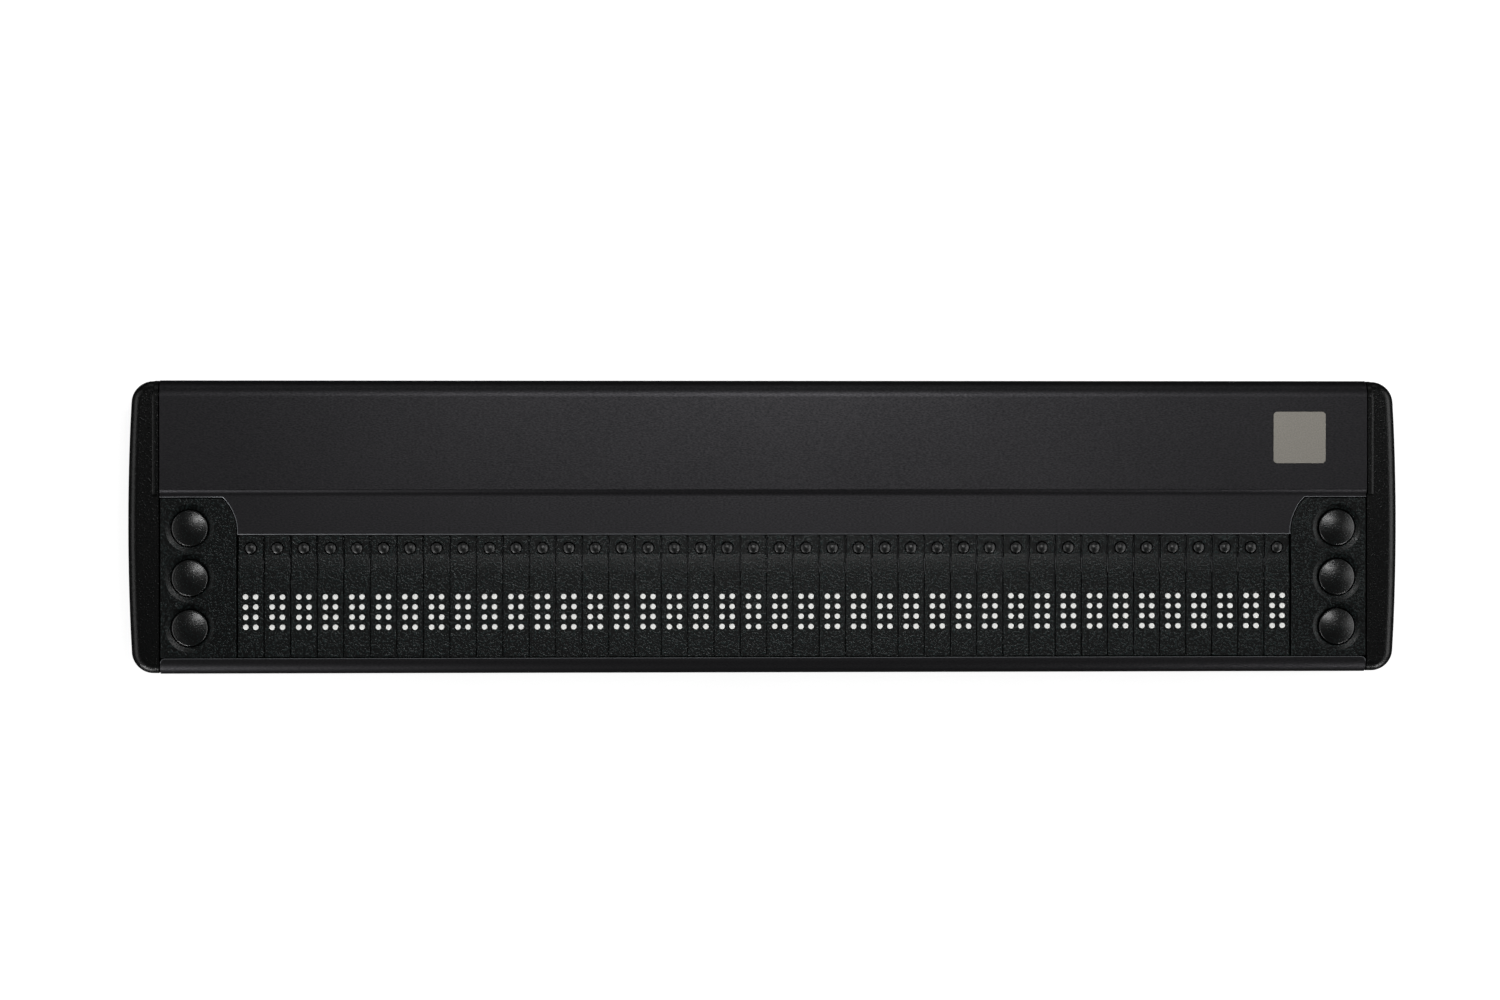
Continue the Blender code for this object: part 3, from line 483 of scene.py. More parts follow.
def bevelled(
    shape: BMesh, edges: Iterable[BMEdge], width: float, steps: int, clamp: bool = True
) -> list[BMFace]:
    """Rounds the given edges of a shape.

    Args:
        shape: The shape.
        edges: The edges to round.
        width: How far the rounding reaches from each edge.
        steps: Segments of the rounding.
        clamp: Whether short edges may narrow it.

    Returns:
        The rounding's faces.
    """
    made = bmesh.ops.bevel(
        shape, geom=list(edges), offset=width, segments=steps, profile=0.5, affect="EDGES",
        clamp_overlap=clamp, material=-1,
    )
    return made["faces"]


def worked(shape: BMesh, tools: Iterable[BMesh], work: Work) -> BMesh:
    """Cuts tool shapes from a shape, or joins them to it, one after the other.

    Args:
        shape: The shape, which is freed.
        tools: The tool shapes, which are freed.
        work: Whether the tools cut or join.

    Returns:
        The worked shape.
    """
    for tool in tools:
        blank, helper = as_object(shape, "blank"), as_object(tool, "tool")
        boolean = blank.modifiers.new("work", "BOOLEAN")
        boolean.operation = work.value
        boolean.solver = "EXACT"
        boolean.object = helper
        shape = baked(blank)
        bpy.data.objects.remove(helper)
        bpy.data.objects.remove(blank)
    return shape


def as_object(shape: BMesh, name: str) -> bpy.types.Object:
    """Makes an object of a shape and frees the shape.

    Args:
        shape: The shape.
        name: The object's name.

    Returns:
        The object.
    """
    mesh = bpy.data.meshes.new(name)
    shape.to_mesh(mesh)
    shape.free()
    item = bpy.data.objects.new(name, mesh)
    bpy.context.scene.collection.objects.link(item)
    return item


def baked(item: bpy.types.Object) -> BMesh:
    """Takes the shape that an object has with its modifiers.

    Args:
        item: The object.

    Returns:
        Its shape.
    """
    graph = bpy.context.evaluated_depsgraph_get()
    shape = bmesh.new()
    shape.from_object(item, graph)
    bmesh.ops.remove_doubles(shape, verts=shape.verts, dist=WELD)
    return shape


def is_crease(edge: BMEdge, least: float, most: float) -> bool:
    """Whether an edge's corner lies between two angles in degrees."""
    return len(edge.link_faces) == 2 and least < math.degrees(edge.calc_face_angle()) < most


@dataclass(frozen=True)
class Bevel:
    """Rounding of a piece's sharp edges.

    Attributes:
        width: How far it reaches from the edge.
        steps: Its segments.
        angle: The smallest corner that it rounds, in degrees.
        crease: The smallest corner that stays a crease, in degrees.
    """

    width: float
    steps: int = 2
    angle: float = 40.0
    crease: float = 35.0


UNROUNDED = Bevel(0, 0, 360)


def add_piece(
    shape: BMesh, name: str, finishes: Sequence[Finish], body: str = CHASSIS,
    replaces: Sequence[str] = (), bevel: Bevel = UNROUNDED,
) -> None:
    """Makes a finished piece of a shape and puts it on its body.

    Args:
        shape: The piece's shape in its place, which is freed.
        name: The piece's name.
        finishes: Its finishes, the main one first.
        body: The body that it moves with.
        replaces: The nodes that it stands for.
        bevel: Rounding of its sharp edges.
    """
    for face in shape.faces:
        face.smooth = True
    for edge in shape.edges:
        edge.smooth = not is_crease(edge, bevel.crease, bevel.angle)
    piece = as_object(shape, name)
    for finish in finishes:
        piece.data.materials.append(finish.material())
    if bevel.width:
        rounding = piece.modifiers.new("rounded edges", "BEVEL")
        rounding.width = bevel.width
        rounding.segments = bevel.steps
        rounding.limit_method = "ANGLE"
        rounding.angle_limit = math.radians(bevel.angle)
        rounding.use_clamp_overlap = True
        weighted = piece.modifiers.new("flat faces stay flat", "WEIGHTED_NORMAL")
        weighted.keep_sharp = True
    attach(piece, body)
    if replaces:
        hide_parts(*replaces)
    LOG.info("%s: %d faces", name, len(piece.data.polygons))


def mirrored_to(shape: BMesh, side: Side) -> BMesh:
    """Leaves a right-hand shape as it is, or turns it into the left-hand one.

    Args:
        shape: The right-hand shape.
        side: The end that it is for.

    Returns:
        The same shape.
    """
    if side is Side.LEFT:
        bmesh.ops.scale(shape, verts=shape.verts, vec=(-1, 1, 1))
        bmesh.ops.reverse_faces(shape, faces=shape.faces)
    return shape


def key_middle(side: Side, word: str) -> Vector:
    """The middle of a control key's box."""
    low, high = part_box(f"{side.word}_{word}_key")
    return (low + high) / 2


@dataclass
class DeckHousing:
    """The extruded deck, with its window, sloped step and rounded long edges."""

    wall: float = 1.6 * MM
    rail_depth: float = 3.8 * MM
    deck_rise: float = 1.3 * MM
    step_front: float = 7.9 * MM
    step_rear: float = 9.05 * MM
    step_edge: float = 0.15 * MM
    front_radius: float = 3.6 * MM
    rear_radius: float = 4.0 * MM
    bottom_radius: float = 1.0 * MM
    foot_inset: float = 9.0 * MM
    groove_half: float = 4.3 * MM
    groove_depth: float = 0.9 * MM
    window_rear: float = -1.8 * MM
    window_depth: float = 4.0 * MM
    window_over: float = 2.0 * MM
    window_facet: float = 0.5 * MM
    panel_rear: float = 6.95 * MM
    cell_gap: float = 0.15 * MM
    gap: float = 0.3 * MM
    cut_edge: float = 0.15 * MM
    end_edge: float = 0.1 * MM
    mouth_depth: float = 1.0 * MM
    level: float = 0.5
    upright: float = 0.1
    rail_corner: float = 1.2 * MM
    rounded_share: float = 0.99
    chamfer: float = 3.4 * MM
    chamfer_reach: float = 4.3 * MM

    def section(self) -> list[Corner]:
        """The outline across the housing.

        Returns:
            Each corner's y, z and how far its rounding reaches.
        """
        low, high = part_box("deck_housing")
        front, rear, bottom, top = low.y, high.y, low.z, high.z
        groove_top = bottom + self.groove_depth
        corners = [(front, bottom, self.bottom_radius)]
        for middle in (front + self.foot_inset, rear - self.foot_inset):
            near, far = middle - self.groove_half, middle + self.groove_half
            corners += [(near, bottom, 0), (near, groove_top, 0)]
            corners += [(far, groove_top, 0), (far, bottom, 0)]
        return corners + [
            (rear, bottom, self.bottom_radius),
            (rear, top, self.rear_radius),
            (self.step_rear, top, self.step_edge),
            (self.step_front, top - self.deck_rise, 0),
            (front, top - self.deck_rise, self.front_radius),
        ]

    def window(self) -> BMesh:
        """The tool that mills the opening for the cells and the key panels.

        Returns:
            The tool.
        """
        low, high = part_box("deck_housing")
        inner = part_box("cell_cap_bank")[1].x + self.cell_gap
        rear = self.panel_rear + self.gap
        chamfer = self.chamfer + (2 - math.sqrt(2)) * self.gap
        front = low.y + self.rail_depth
        end = high.x + self.window_over
        corner = self.rail_corner
        reach = corner * self.rounded_share
        half = [
            (high.x, front, reach), (high.x, front - corner, 0), (end, front - corner, 0),
            (end, rear, 0), (inner + chamfer, rear, 0),
            (inner, rear - chamfer, self.chamfer_reach), (inner, self.window_rear, 0),
        ]
        other = [(-x, y, reach) for x, y, reach in reversed(half)]
        return raise_up(
            polygon(half + other, self.window_facet),
            high.z - self.deck_rise - self.window_depth, high.z + self.window_over,
        )

    def is_mouth(self, edge: BMEdge) -> bool:
        """Whether an edge is where the window's wall meets the housing's top.

        Args:
            edge: An edge of the housing with its window cut.

        Returns:
            Whether it lies on the window's rim.
        """
        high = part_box("deck_housing")[1]
        depth = high.z - self.deck_rise - self.mouth_depth
        if len(edge.link_faces) != 2 or min(vert.co.z for vert in edge.verts) < depth:
            return False
        if min(abs(vert.co.x) for vert in edge.verts) > high.x - WELD:
            return False
        flat, wall = sorted(edge.link_faces, key=lambda face: -face.normal.z)
        return flat.normal.z > self.level and abs(wall.normal.z) < self.upright

    def build(self) -> None:
        """Builds the housing."""
        low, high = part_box("deck_housing")
        outline = polygon(self.section())
        bmesh.ops.delete(outline, geom=outline.faces[:], context="FACES_ONLY")
        made = bmesh.ops.extrude_edge_only(outline, edges=outline.edges[:])["geom"]
        far = of_kind(made, BMVert)
        bmesh.ops.translate(outline, verts=far, vec=(0, 0, high.x - low.x))
        bmesh.ops.translate(outline, verts=outline.verts, vec=(0, 0, low.x))
        bmesh.ops.recalc_face_normals(outline, faces=outline.faces)
        tube = as_object(face_along_x(outline), "tube")
        wall = tube.modifiers.new("wall", "SOLIDIFY")
        wall.thickness = self.wall
        wall.offset = -1
        wall.use_even_offset = True
        shape = baked(tube)
        bpy.data.objects.remove(tube)
        shape = worked(shape, [self.window()], Work.CUT)
        mouth = [edge for edge in shape.edges if self.is_mouth(edge)]
        for face in bevelled(shape, mouth, self.cut_edge, 1, clamp=False):
            face.material_index = 1
        add_piece(
            shape, "deck_and_rail", [ANODISED, CUT_ALUMINIUM],
            replaces=["deck_housing"], bevel=Bevel(self.end_edge, 1, 60),
        )


@dataclass
class BadgePlate:
    """A square plate let into the raised deck, left blank."""

    middle: tuple[float, float] = (130.46 * MM, 21.78 * MM)
    size: tuple[float, float] = (12.8 * MM, 12.6 * MM)
    corner: float = 0.9 * MM
    proud: float = 0.12 * MM
    sunk: float = 0.5 * MM
    facet: float = 0.15 * MM
    edge: float = 0.06 * MM

    def build(self) -> None:
        """Builds the plate."""
        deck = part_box("deck_housing")[1].z
        (x, y), (width, depth) = self.middle, self.size
        outline = rectangle(
            (x - width / 2, y - depth / 2), (x + width / 2, y + depth / 2), self.corner, self.facet
        )
        plate = raise_up(outline, deck - self.sunk, deck + self.proud)
        add_piece(plate, "blank_badge_plate", [CHAMPAGNE_PLATE], bevel=Bevel(self.edge))


@dataclass
class EndCap:
    """A moulded end cap with a lip beside the raised deck."""

    side: Side
    bulge: float = 1.1 * MM
    bow_share: float = 0.7
    bow_steps: int = 14
    corner: float = 5.0 * MM
    facet: float = 0.4 * MM
    rim: float = 2.4 * MM
    rim_steps: int = 8
    edge: float = 0.1 * MM
    setback: float = 0.2 * MM
    overlap: float = 3.0 * MM
    shoulder_drop: float = 1.4 * MM
    lip_width: float = 1.15 * MM
    lip_fillet: float = 0.5 * MM
    lip_root: float = 1.0 * MM
    lip_sunk: float = 0.02 * MM
    lip_edge: float = 0.3 * MM
    lip_facet: float = 0.1 * MM
    lip_bend: float = 4.0 * MM
    lip_steps: int = 10
    lip_wrap: float = 0.4 * MM
    lip_inset: float = 0.1 * MM
    lip_start: float = 8.0 * MM
    lip_drop: float = 9.0 * MM
    pocket_wall: float = 2.4 * MM
    pocket_starts: tuple[float, float, float] = (-29.4 * MM, -9.3 * MM, 10.8 * MM)
    pocket_length: float = 18.5 * MM
    pocket_floor: float = 4.0 * MM
    pocket_roof: float = 11.8 * MM
    mouth_low: tuple[float, float] = (17.05 * MM, 6.6 * MM)
    mouth_high: tuple[float, float] = (26.55 * MM, 10.6 * MM)
    mouth_corner: float = 1.5 * MM
    mouth_facet: float = 0.2 * MM
    screw_spread: tuple[float, float] = (-32.45 * MM, 32.35 * MM)
    screw_height: float = 9.2 * MM
    screw_hole: float = 1.2 * MM
    head_hole: float = 2.1 * MM
    head_seat: float = 3.0 * MM
    screw_sides: int = 32

    @property
    def inner(self) -> float:
        """Distance of the cap's inner face from the middle."""
        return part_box("deck_housing")[1].x + CAP_GAP

    @property
    def outer(self) -> float:
        """Distance of its bowed face from the middle."""
        return max(abs(corner.x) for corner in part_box(f"{self.side.word}_end_cap"))

    @property
    def low(self) -> float:
        """Height of its underside."""
        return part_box(f"{self.side.word}_end_cap")[0].z

    @property
    def top(self) -> float:
        """Height of its top beside the lip."""
        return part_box("deck_housing")[1].z - self.shoulder_drop

    def body(self) -> BMesh:
        """The bowed block with its rounded rim.

        Returns:
            The block.
        """
        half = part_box("deck_housing")[1].y - self.setback
        inner, outer = self.inner, self.outer
        shoulder = outer - self.bulge
        steps = range(self.bow_steps + 1)
        shares = [self.bow_share * (2 * step / self.bow_steps - 1) for step in steps]
        bow = [(outer - self.bulge * share**2, half * share, 0) for share in shares]
        shape = polygon([
            (inner - self.overlap, -half, 0), (shoulder, -half, self.corner), *bow,
            (shoulder, half, self.corner), (inner - self.overlap, half, 0),
        ], self.facet)
        raise_up(shape, self.low, self.top)
        rim = [edge for edge in shape.edges if abs(edge.verts[0].co.z - edge.verts[1].co.z) < WELD]
        bevelled(shape, rim, self.rim, self.rim_steps)
        bmesh.ops.bisect_plane(
            shape, geom=[*shape.verts, *shape.edges, *shape.faces], plane_co=(inner, 0, 0),
            plane_no=(-1, 0, 0), clear_outer=True,
        )
        bmesh.ops.holes_fill(shape, edges=shape.edges[:])
        bmesh.ops.recalc_face_normals(shape, faces=shape.faces)
        return shape

    def lip(self) -> BMesh:
        """The lip beside the raised deck, bent down over the deck's own rear rounding.

        Returns:
            The lip with the fillet at its root.
        """
        _, rear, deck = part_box("deck_housing")[1]
        bend = Vector((0, rear - self.lip_inset - self.lip_bend, deck - self.lip_bend))
        inner, foot = self.inner, self.top - self.lip_sunk
        side, bottom = inner + self.lip_width, bend.z + self.lip_wrap
        section = polygon([
            (inner, bottom, 0), (side + self.lip_root, bottom, 0), (side + self.lip_root, foot, 0),
            (side, foot, self.lip_fillet), (side, deck, self.lip_edge), (inner, deck, 0),
        ], self.lip_facet)
        turn = Matrix(((1, 0, 0), (0, 0, -1), (0, 1, 0)))
        bmesh.ops.rotate(section, verts=section.verts, matrix=turn)
        shape = moved(section, (0, self.lip_start, 0))
        end = pulled(shape, shape.faces[:], (0, bend.y - self.lip_start, 0))
        turned_end = bmesh.ops.spin(
            shape, geom=end, cent=bend, axis=(-1, 0, 0), angle=math.pi / 2, steps=self.lip_steps,
        )["geom_last"]
        faces = of_kind(turned_end, BMFace)
        pulled(shape, faces, (0, 0, -self.lip_drop))
        bmesh.ops.delete(shape, geom=[*end, *faces], context="FACES_ONLY")
        bmesh.ops.recalc_face_normals(shape, faces=shape.faces)
        return shape

    def cutters(self) -> list[BMesh]:
        """The tools that cut the pockets, the screw holes and the left cap's socket mouth.

        Returns:
            The tools.
        """
        pocket = self.outer - self.bulge - self.pocket_wall
        inside, outside = self.inner - OVERRUN, self.outer + OVERRUN
        tools = [
            box((inside, start, self.low + self.pocket_floor),
                (pocket, start + self.pocket_length, self.low + self.pocket_roof))
            for start in self.pocket_starts
        ]
        seat = self.inner + self.head_seat
        for y in self.screw_spread:
            bore = turned([
                (0, inside), (self.screw_hole, inside), (self.screw_hole, seat),
                (self.head_hole, seat), (self.head_hole, outside), (0, outside),
            ], self.screw_sides)
            bmesh.ops.rotate(bore, verts=bore.verts, matrix=Matrix.Rotation(math.pi / 2, 3, "Y"))
            tools.append(moved(bore, (0, y, self.screw_height)))
        if self.side is Side.LEFT:
            mouth = rectangle(self.mouth_low, self.mouth_high, self.mouth_corner, self.mouth_facet)
            tools.append(face_along_x(raise_up(mouth, pocket - OVERRUN, outside)))
        return tools

    def build(self) -> None:
        """Builds the cap."""
        shape = worked(self.body(), [self.lip()], Work.JOIN)
        shape = worked(shape, self.cutters(), Work.CUT)
        add_piece(
            mirrored_to(shape, self.side), f"{self.side.word}_cap", [DEEP_SPARK_ABS],
            replaces=[f"{self.side.word}_end_cap"],
            bevel=Bevel(self.edge, 2, 50),
        )


@dataclass
class CapScrew:
    """A screw whose head stands in an end cap's bore, with a cross recess."""

    side: Side
    rear: bool
    head: float = 1.95 * MM
    height: float = 1.2 * MM
    shank: float = 1.0 * MM
    length: float = 8.0 * MM
    crown: float = 0.15 * MM
    crown_edge: float = 0.45 * MM
    crown_shares: tuple[float, float] = (0.6, 0.93)
    recess: float = 1.3 * MM
    recess_half: float = 0.25 * MM
    recess_depth: float = 0.7 * MM

    def build(self, cap: EndCap) -> None:
        """Builds the screw.

        Args:
            cap: The end cap that it holds.
        """
        seat = cap.inner + cap.head_seat
        top, end = seat + self.height, seat - self.length
        flat, round_edge = (self.head * share for share in self.crown_shares)
        shape = turned([
            (0, top), (flat, top), (round_edge, top - self.crown), (self.head, top - self.crown_edge),
            (self.head, seat), (self.shank, seat), (self.shank, end), (0, end),
        ], cap.screw_sides)
        blades = [
            box((-a, -b, top - self.recess_depth), (a, b, top + OVERRUN))
            for a, b in ((self.recess, self.recess_half), (self.recess_half, self.recess))
        ]
        shape = worked(shape, blades, Work.CUT)
        bmesh.ops.rotate(shape, verts=shape.verts, matrix=Matrix.Rotation(math.pi / 2, 3, "Y"))
        moved(shape, (0, cap.screw_spread[self.rear], cap.screw_height))
        word = "rear" if self.rear else "front"
        add_piece(mirrored_to(shape, self.side), f"{self.side.word}_{word}_screw", [BLACK_ZINC])


@dataclass
class KeyPanel:
    """A key panel with three countersunk holes."""

    side: Side
    hole: float = 4.675 * MM
    sink: float = 5.9 * MM
    sink_depth: float = 0.42 * MM
    chamfer: float = 3.4 * MM
    chamfer_reach: float = 4.1 * MM
    facet: float = 0.5 * MM
    flange: float = 1.5 * MM
    end_gap: float = 0.15 * MM
    skirt_gap: float = 0.3 * MM
    skirt_lift: float = 0.2 * MM
    skirt_drop: float = 1.8 * MM
    cutter_over: float = 2.0 * MM
    hole_sides: int = 72
    edge: float = 0.12 * MM

    def build(self) -> None:
        """Builds the panel."""
        node = f"{self.side.word}_key_panel"
        low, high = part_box(node)
        inner = min(abs(low.x), abs(high.x))
        outer = max(abs(low.x), abs(high.x)) - self.end_gap
        front, rear = low.y + self.flange, high.y - self.flange
        shape = raise_up(polygon([
            (inner, front, 0), (outer, front, 0), (outer, rear, 0),
            (inner + self.chamfer, rear, 0),
            (inner, rear - self.chamfer, self.chamfer_reach),
        ], self.facet), low.z, high.z)
        skirt = box(
            (inner + self.chamfer, low.y, low.z + self.skirt_lift),
            (outer - self.skirt_gap, high.y, high.z - self.skirt_drop),
        )
        shape = worked(shape, [skirt], Work.JOIN)
        over, under = high.z + self.cutter_over, low.z - OVERRUN
        spread = (self.sink - self.hole) * self.cutter_over / self.sink_depth
        profile = [
            (0, over), (self.sink + spread, over), (self.hole, high.z - self.sink_depth),
            (self.hole, under), (0, under),
        ]
        middles = [key_middle(Side.RIGHT, word) for word in KEY_WORDS]
        holes = [moved(turned(profile, self.hole_sides), (*place.xy, 0)) for place in middles]
        shape = worked(shape, holes, Work.CUT)
        add_piece(
            mirrored_to(shape, self.side), f"{self.side.word}_panel", [SPARK_ABS],
            replaces=[node], bevel=Bevel(self.edge, 2, 30, 12),
        )


@dataclass
class ControlKeys:
    """The six domed keys at the ends of the line."""

    radius: float = 4.375 * MM
    dome: float = 1.4 * MM
    rise: float = 0.65 * MM
    crown_steps: int = 12
    shoulder: float = 0.4 * MM
    shoulder_angles: tuple[float, ...] = (30, 50, 70, 90)
    flange: float = 5.475 * MM
    flange_top: float = 2.9 * MM
    flange_foot: float = 3.7 * MM
    stem: float = 2.0 * MM
    sides: int = 64

    def profile(self, low: float, high: float) -> list[tuple[float, float]]:
        """Half a section of one key.

        Args:
            low: Height of its stem's foot.
            high: Height of its crown.

        Returns:
            Points of radius and height from the crown down.
        """
        flat = self.radius - self.shoulder
        shares = [step / self.crown_steps for step in range(self.crown_steps + 1)]
        crown = [(flat * share, high - self.rise * share**2) for share in shares]
        edge = [
            (
                flat + self.shoulder * math.sin(math.radians(angle)),
                high - self.rise - self.shoulder * (1 - math.cos(math.radians(angle))),
            )
            for angle in self.shoulder_angles
        ]
        top, foot = high - self.dome - self.flange_top, high - self.dome - self.flange_foot
        return crown + edge + [
            (self.radius, top), (self.flange, top), (self.flange, foot), (self.stem, foot),
            (self.stem, low), (0, low),
        ]

    def build(self) -> None:
        """Builds the keys, each on its own body."""
        for side in Side:
            for word in KEY_WORDS:
                name = f"{side.word}_{word}_key"
                low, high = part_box(name)
                key = turned(self.profile(low.z, high.z), self.sides)
                shape = moved(key, (*key_middle(side, word).xy, 0))
                add_piece(
                    shape, f"{name}_dome", [POLISHED_ABS], body=name,
                    replaces=[name],
                )


@dataclass
class CellLine:
    """The cells' pitch and dots, as the caps, pins and routing keys share them."""

    count: int = 40
    rows: int = 4
    pitch: float = 6.42 * MM
    dot_pitch: float = 2.45 * MM
    first_dot: float = -16.9 * MM
    routing: float = -5.1 * MM

    def middle(self, cell: int) -> float:
        """Where a cell's middle lies along X."""
        return (cell - (self.count - 1) / 2) * self.pitch

    def dot_y(self, row: int) -> float:
        """Where a row of dots lies along Y."""
        return self.first_dot - row * self.dot_pitch


@dataclass
class CellCaps:
    """The forty cell caps: a flat reading zone that rolls down to a low zone round each key."""

    line: CellLine
    seam: float = 0.34 * MM
    rear_seam: float = 0.6 * MM
    seam_depth: float = 1.6 * MM
    rear_zone: float = -11.0 * MM
    key_zone: float = -6.6 * MM
    fall: float = 0.2 * MM
    fall_steps: int = 6
    fall_start: float = 0.04 * MM
    key_ledge: float = 0.1 * MM
    ledge_run: float = 0.05 * MM
    front_chamfer: float = 0.12 * MM
    edge: float = 0.02 * MM
    dot_hole: float = 0.83 * MM
    dot_sides: int = 14
    key_hole: float = 1.6 * MM
    key_sides: int = 28

    def build(self) -> None:
        """Builds the caps as one piece."""
        low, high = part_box("cell_cap_bank")
        width = self.line.pitch - self.seam
        shares = [step / self.fall_steps for step in range(self.fall_steps + 1)]
        slope = [
            (
                self.rear_zone + (self.key_zone - self.rear_zone) * share,
                high.z - self.fall_start - self.fall * share**2,
                0,
            )
            for share in shares
        ]
        ledge = high.z - self.fall - self.key_ledge
        section = [
            (low.y, low.z, 0), (high.y, low.z, 0), (high.y, ledge, 0),
            (self.key_zone + self.ledge_run, ledge, 0), *reversed(slope),
            (self.rear_zone, high.z, 0),
            (low.y + self.front_chamfer, high.z, 0), (low.y, high.z - self.front_chamfer, 0),
        ]
        cap = face_along_x(raise_up(polygon(section), -width / 2, width / 2))
        narrow, beyond = (self.line.pitch - self.rear_seam) / 2, self.line.pitch / 2
        shoulders = [
            box((left, self.rear_zone, high.z - self.seam_depth),
                (right, high.y + OVERRUN, high.z + OVERRUN))
            for left, right in ((-beyond, -narrow), (narrow, beyond))
        ]
        cap = worked(cap, shoulders, Work.CUT)
        under, over = low.z - OVERRUN, high.z + OVERRUN
        hole, well = (
            turned([(0, over), (radius, over), (radius, under), (0, under)], sides)
            for radius, sides in ((self.dot_hole, self.dot_sides), (self.key_hole, self.key_sides))
        )
        places = [
            Vector((column * self.line.dot_pitch / 2, self.line.dot_y(row), 0))
            for row in range(self.line.rows) for column in (-1, 1)
        ]
        moved(well, (0, self.line.routing, 0))
        cap = worked(cap, [repeated(hole, places), well], Work.CUT)
        # Webs close the seams from below, so that the seams stay dark.
        half = self.seam / 2 - WELD
        web = box((-half, low.y, low.z), (half, high.y, high.z - self.seam_depth))
        seams = [
            Vector((self.line.middle(cell) + self.line.pitch / 2, 0, 0))
            for cell in range(self.line.count - 1)
        ]
        cells = [Vector((self.line.middle(cell), 0, 0)) for cell in range(self.line.count)]
        add_piece(
            gathered([repeated(cap, cells), repeated(web, seams)]), "cell_caps", [SATIN_ABS],
            replaces=["cell_cap_bank"], bevel=Bevel(self.edge, 1),
        )


@dataclass
class DotPins:
    """The white dot pins, eighty to a row, each a little off its place as real ones are."""

    line: CellLine
    radius: float = 0.66 * MM
    tip: float = 0.18 * MM
    tip_shares: tuple[tuple[float, float], ...] = ((0, 0), (0.6, 0.12), (0.9, 0.5), (1, 1))
    sides: int = 12
    play: float = 0.035 * MM
    seed: int = 8

    def build(self) -> None:
        """Builds one piece for each row of dots."""
        chance = random.Random(self.seed)
        for row in range(self.line.rows):
            name = f"dot_row_{row + 1}"
            low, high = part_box(name)
            tip = [(self.radius * out, high.z - self.tip * down) for out, down in self.tip_shares]
            pin = turned([*tip, (self.radius, low.z), (0, low.z)], self.sides)
            places = [
                Vector((
                    self.line.middle(cell) + column * self.line.dot_pitch / 2
                    + chance.uniform(-self.play, self.play),
                    self.line.dot_y(row) + chance.uniform(-self.play, self.play),
                    0,
                ))
                for cell in range(self.line.count) for column in (-1, 1)
            ]
            add_piece(
                repeated(pin, places), f"{name}_pins", [ACETAL], body=name,
                replaces=[name],
            )


@dataclass
class RoutingKeys:
    """The small domed keys behind the cells."""

    line: CellLine
    radius: float = 1.24 * MM
    sphere: float = 1.9 * MM
    steps: int = 8
    flange: float = 1.85 * MM
    flange_depth: float = 0.4 * MM
    sides: int = 28

    def build(self) -> None:
        """Builds the keys, each on its own body."""
        for cell in range(self.line.count):
            name = f"routing_key_{cell + 1:02d}"
            low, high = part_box(name)
            edge = math.asin(self.radius / self.sphere)
            angles = [edge * step / self.steps for step in range(self.steps + 1)]
            crown = [
                (self.sphere * math.sin(angle), high.z - self.sphere * (1 - math.cos(angle)))
                for angle in angles
            ]
            ledge = low.z + self.flange_depth
            shape = turned([
                *crown, (self.radius, ledge), (self.flange, ledge), (self.flange, low.z), (0, low.z),
            ], self.sides)
            moved(shape, (self.line.middle(cell), self.line.routing, 0))
            add_piece(
                shape, f"{name}_cap", [BLASTED_ABS], body=name,
                replaces=[name],
            )


@dataclass
class FootStrips:
    """The rubber strips under the housing, with round ends."""

    end_radius: float = 3.9 * MM
    edge: float = 0.3 * MM

    def build(self) -> None:
        """Builds both strips."""
        for name in ("front_foot_strip", "rear_foot_strip"):
            low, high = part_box(name)
            strip = raise_up(rectangle(low, high, self.end_radius), low.z, high.z)
            add_piece(
                strip, f"{name}_rubber", [RUBBER], replaces=[name],
                bevel=Bevel(self.edge, 3),
            )


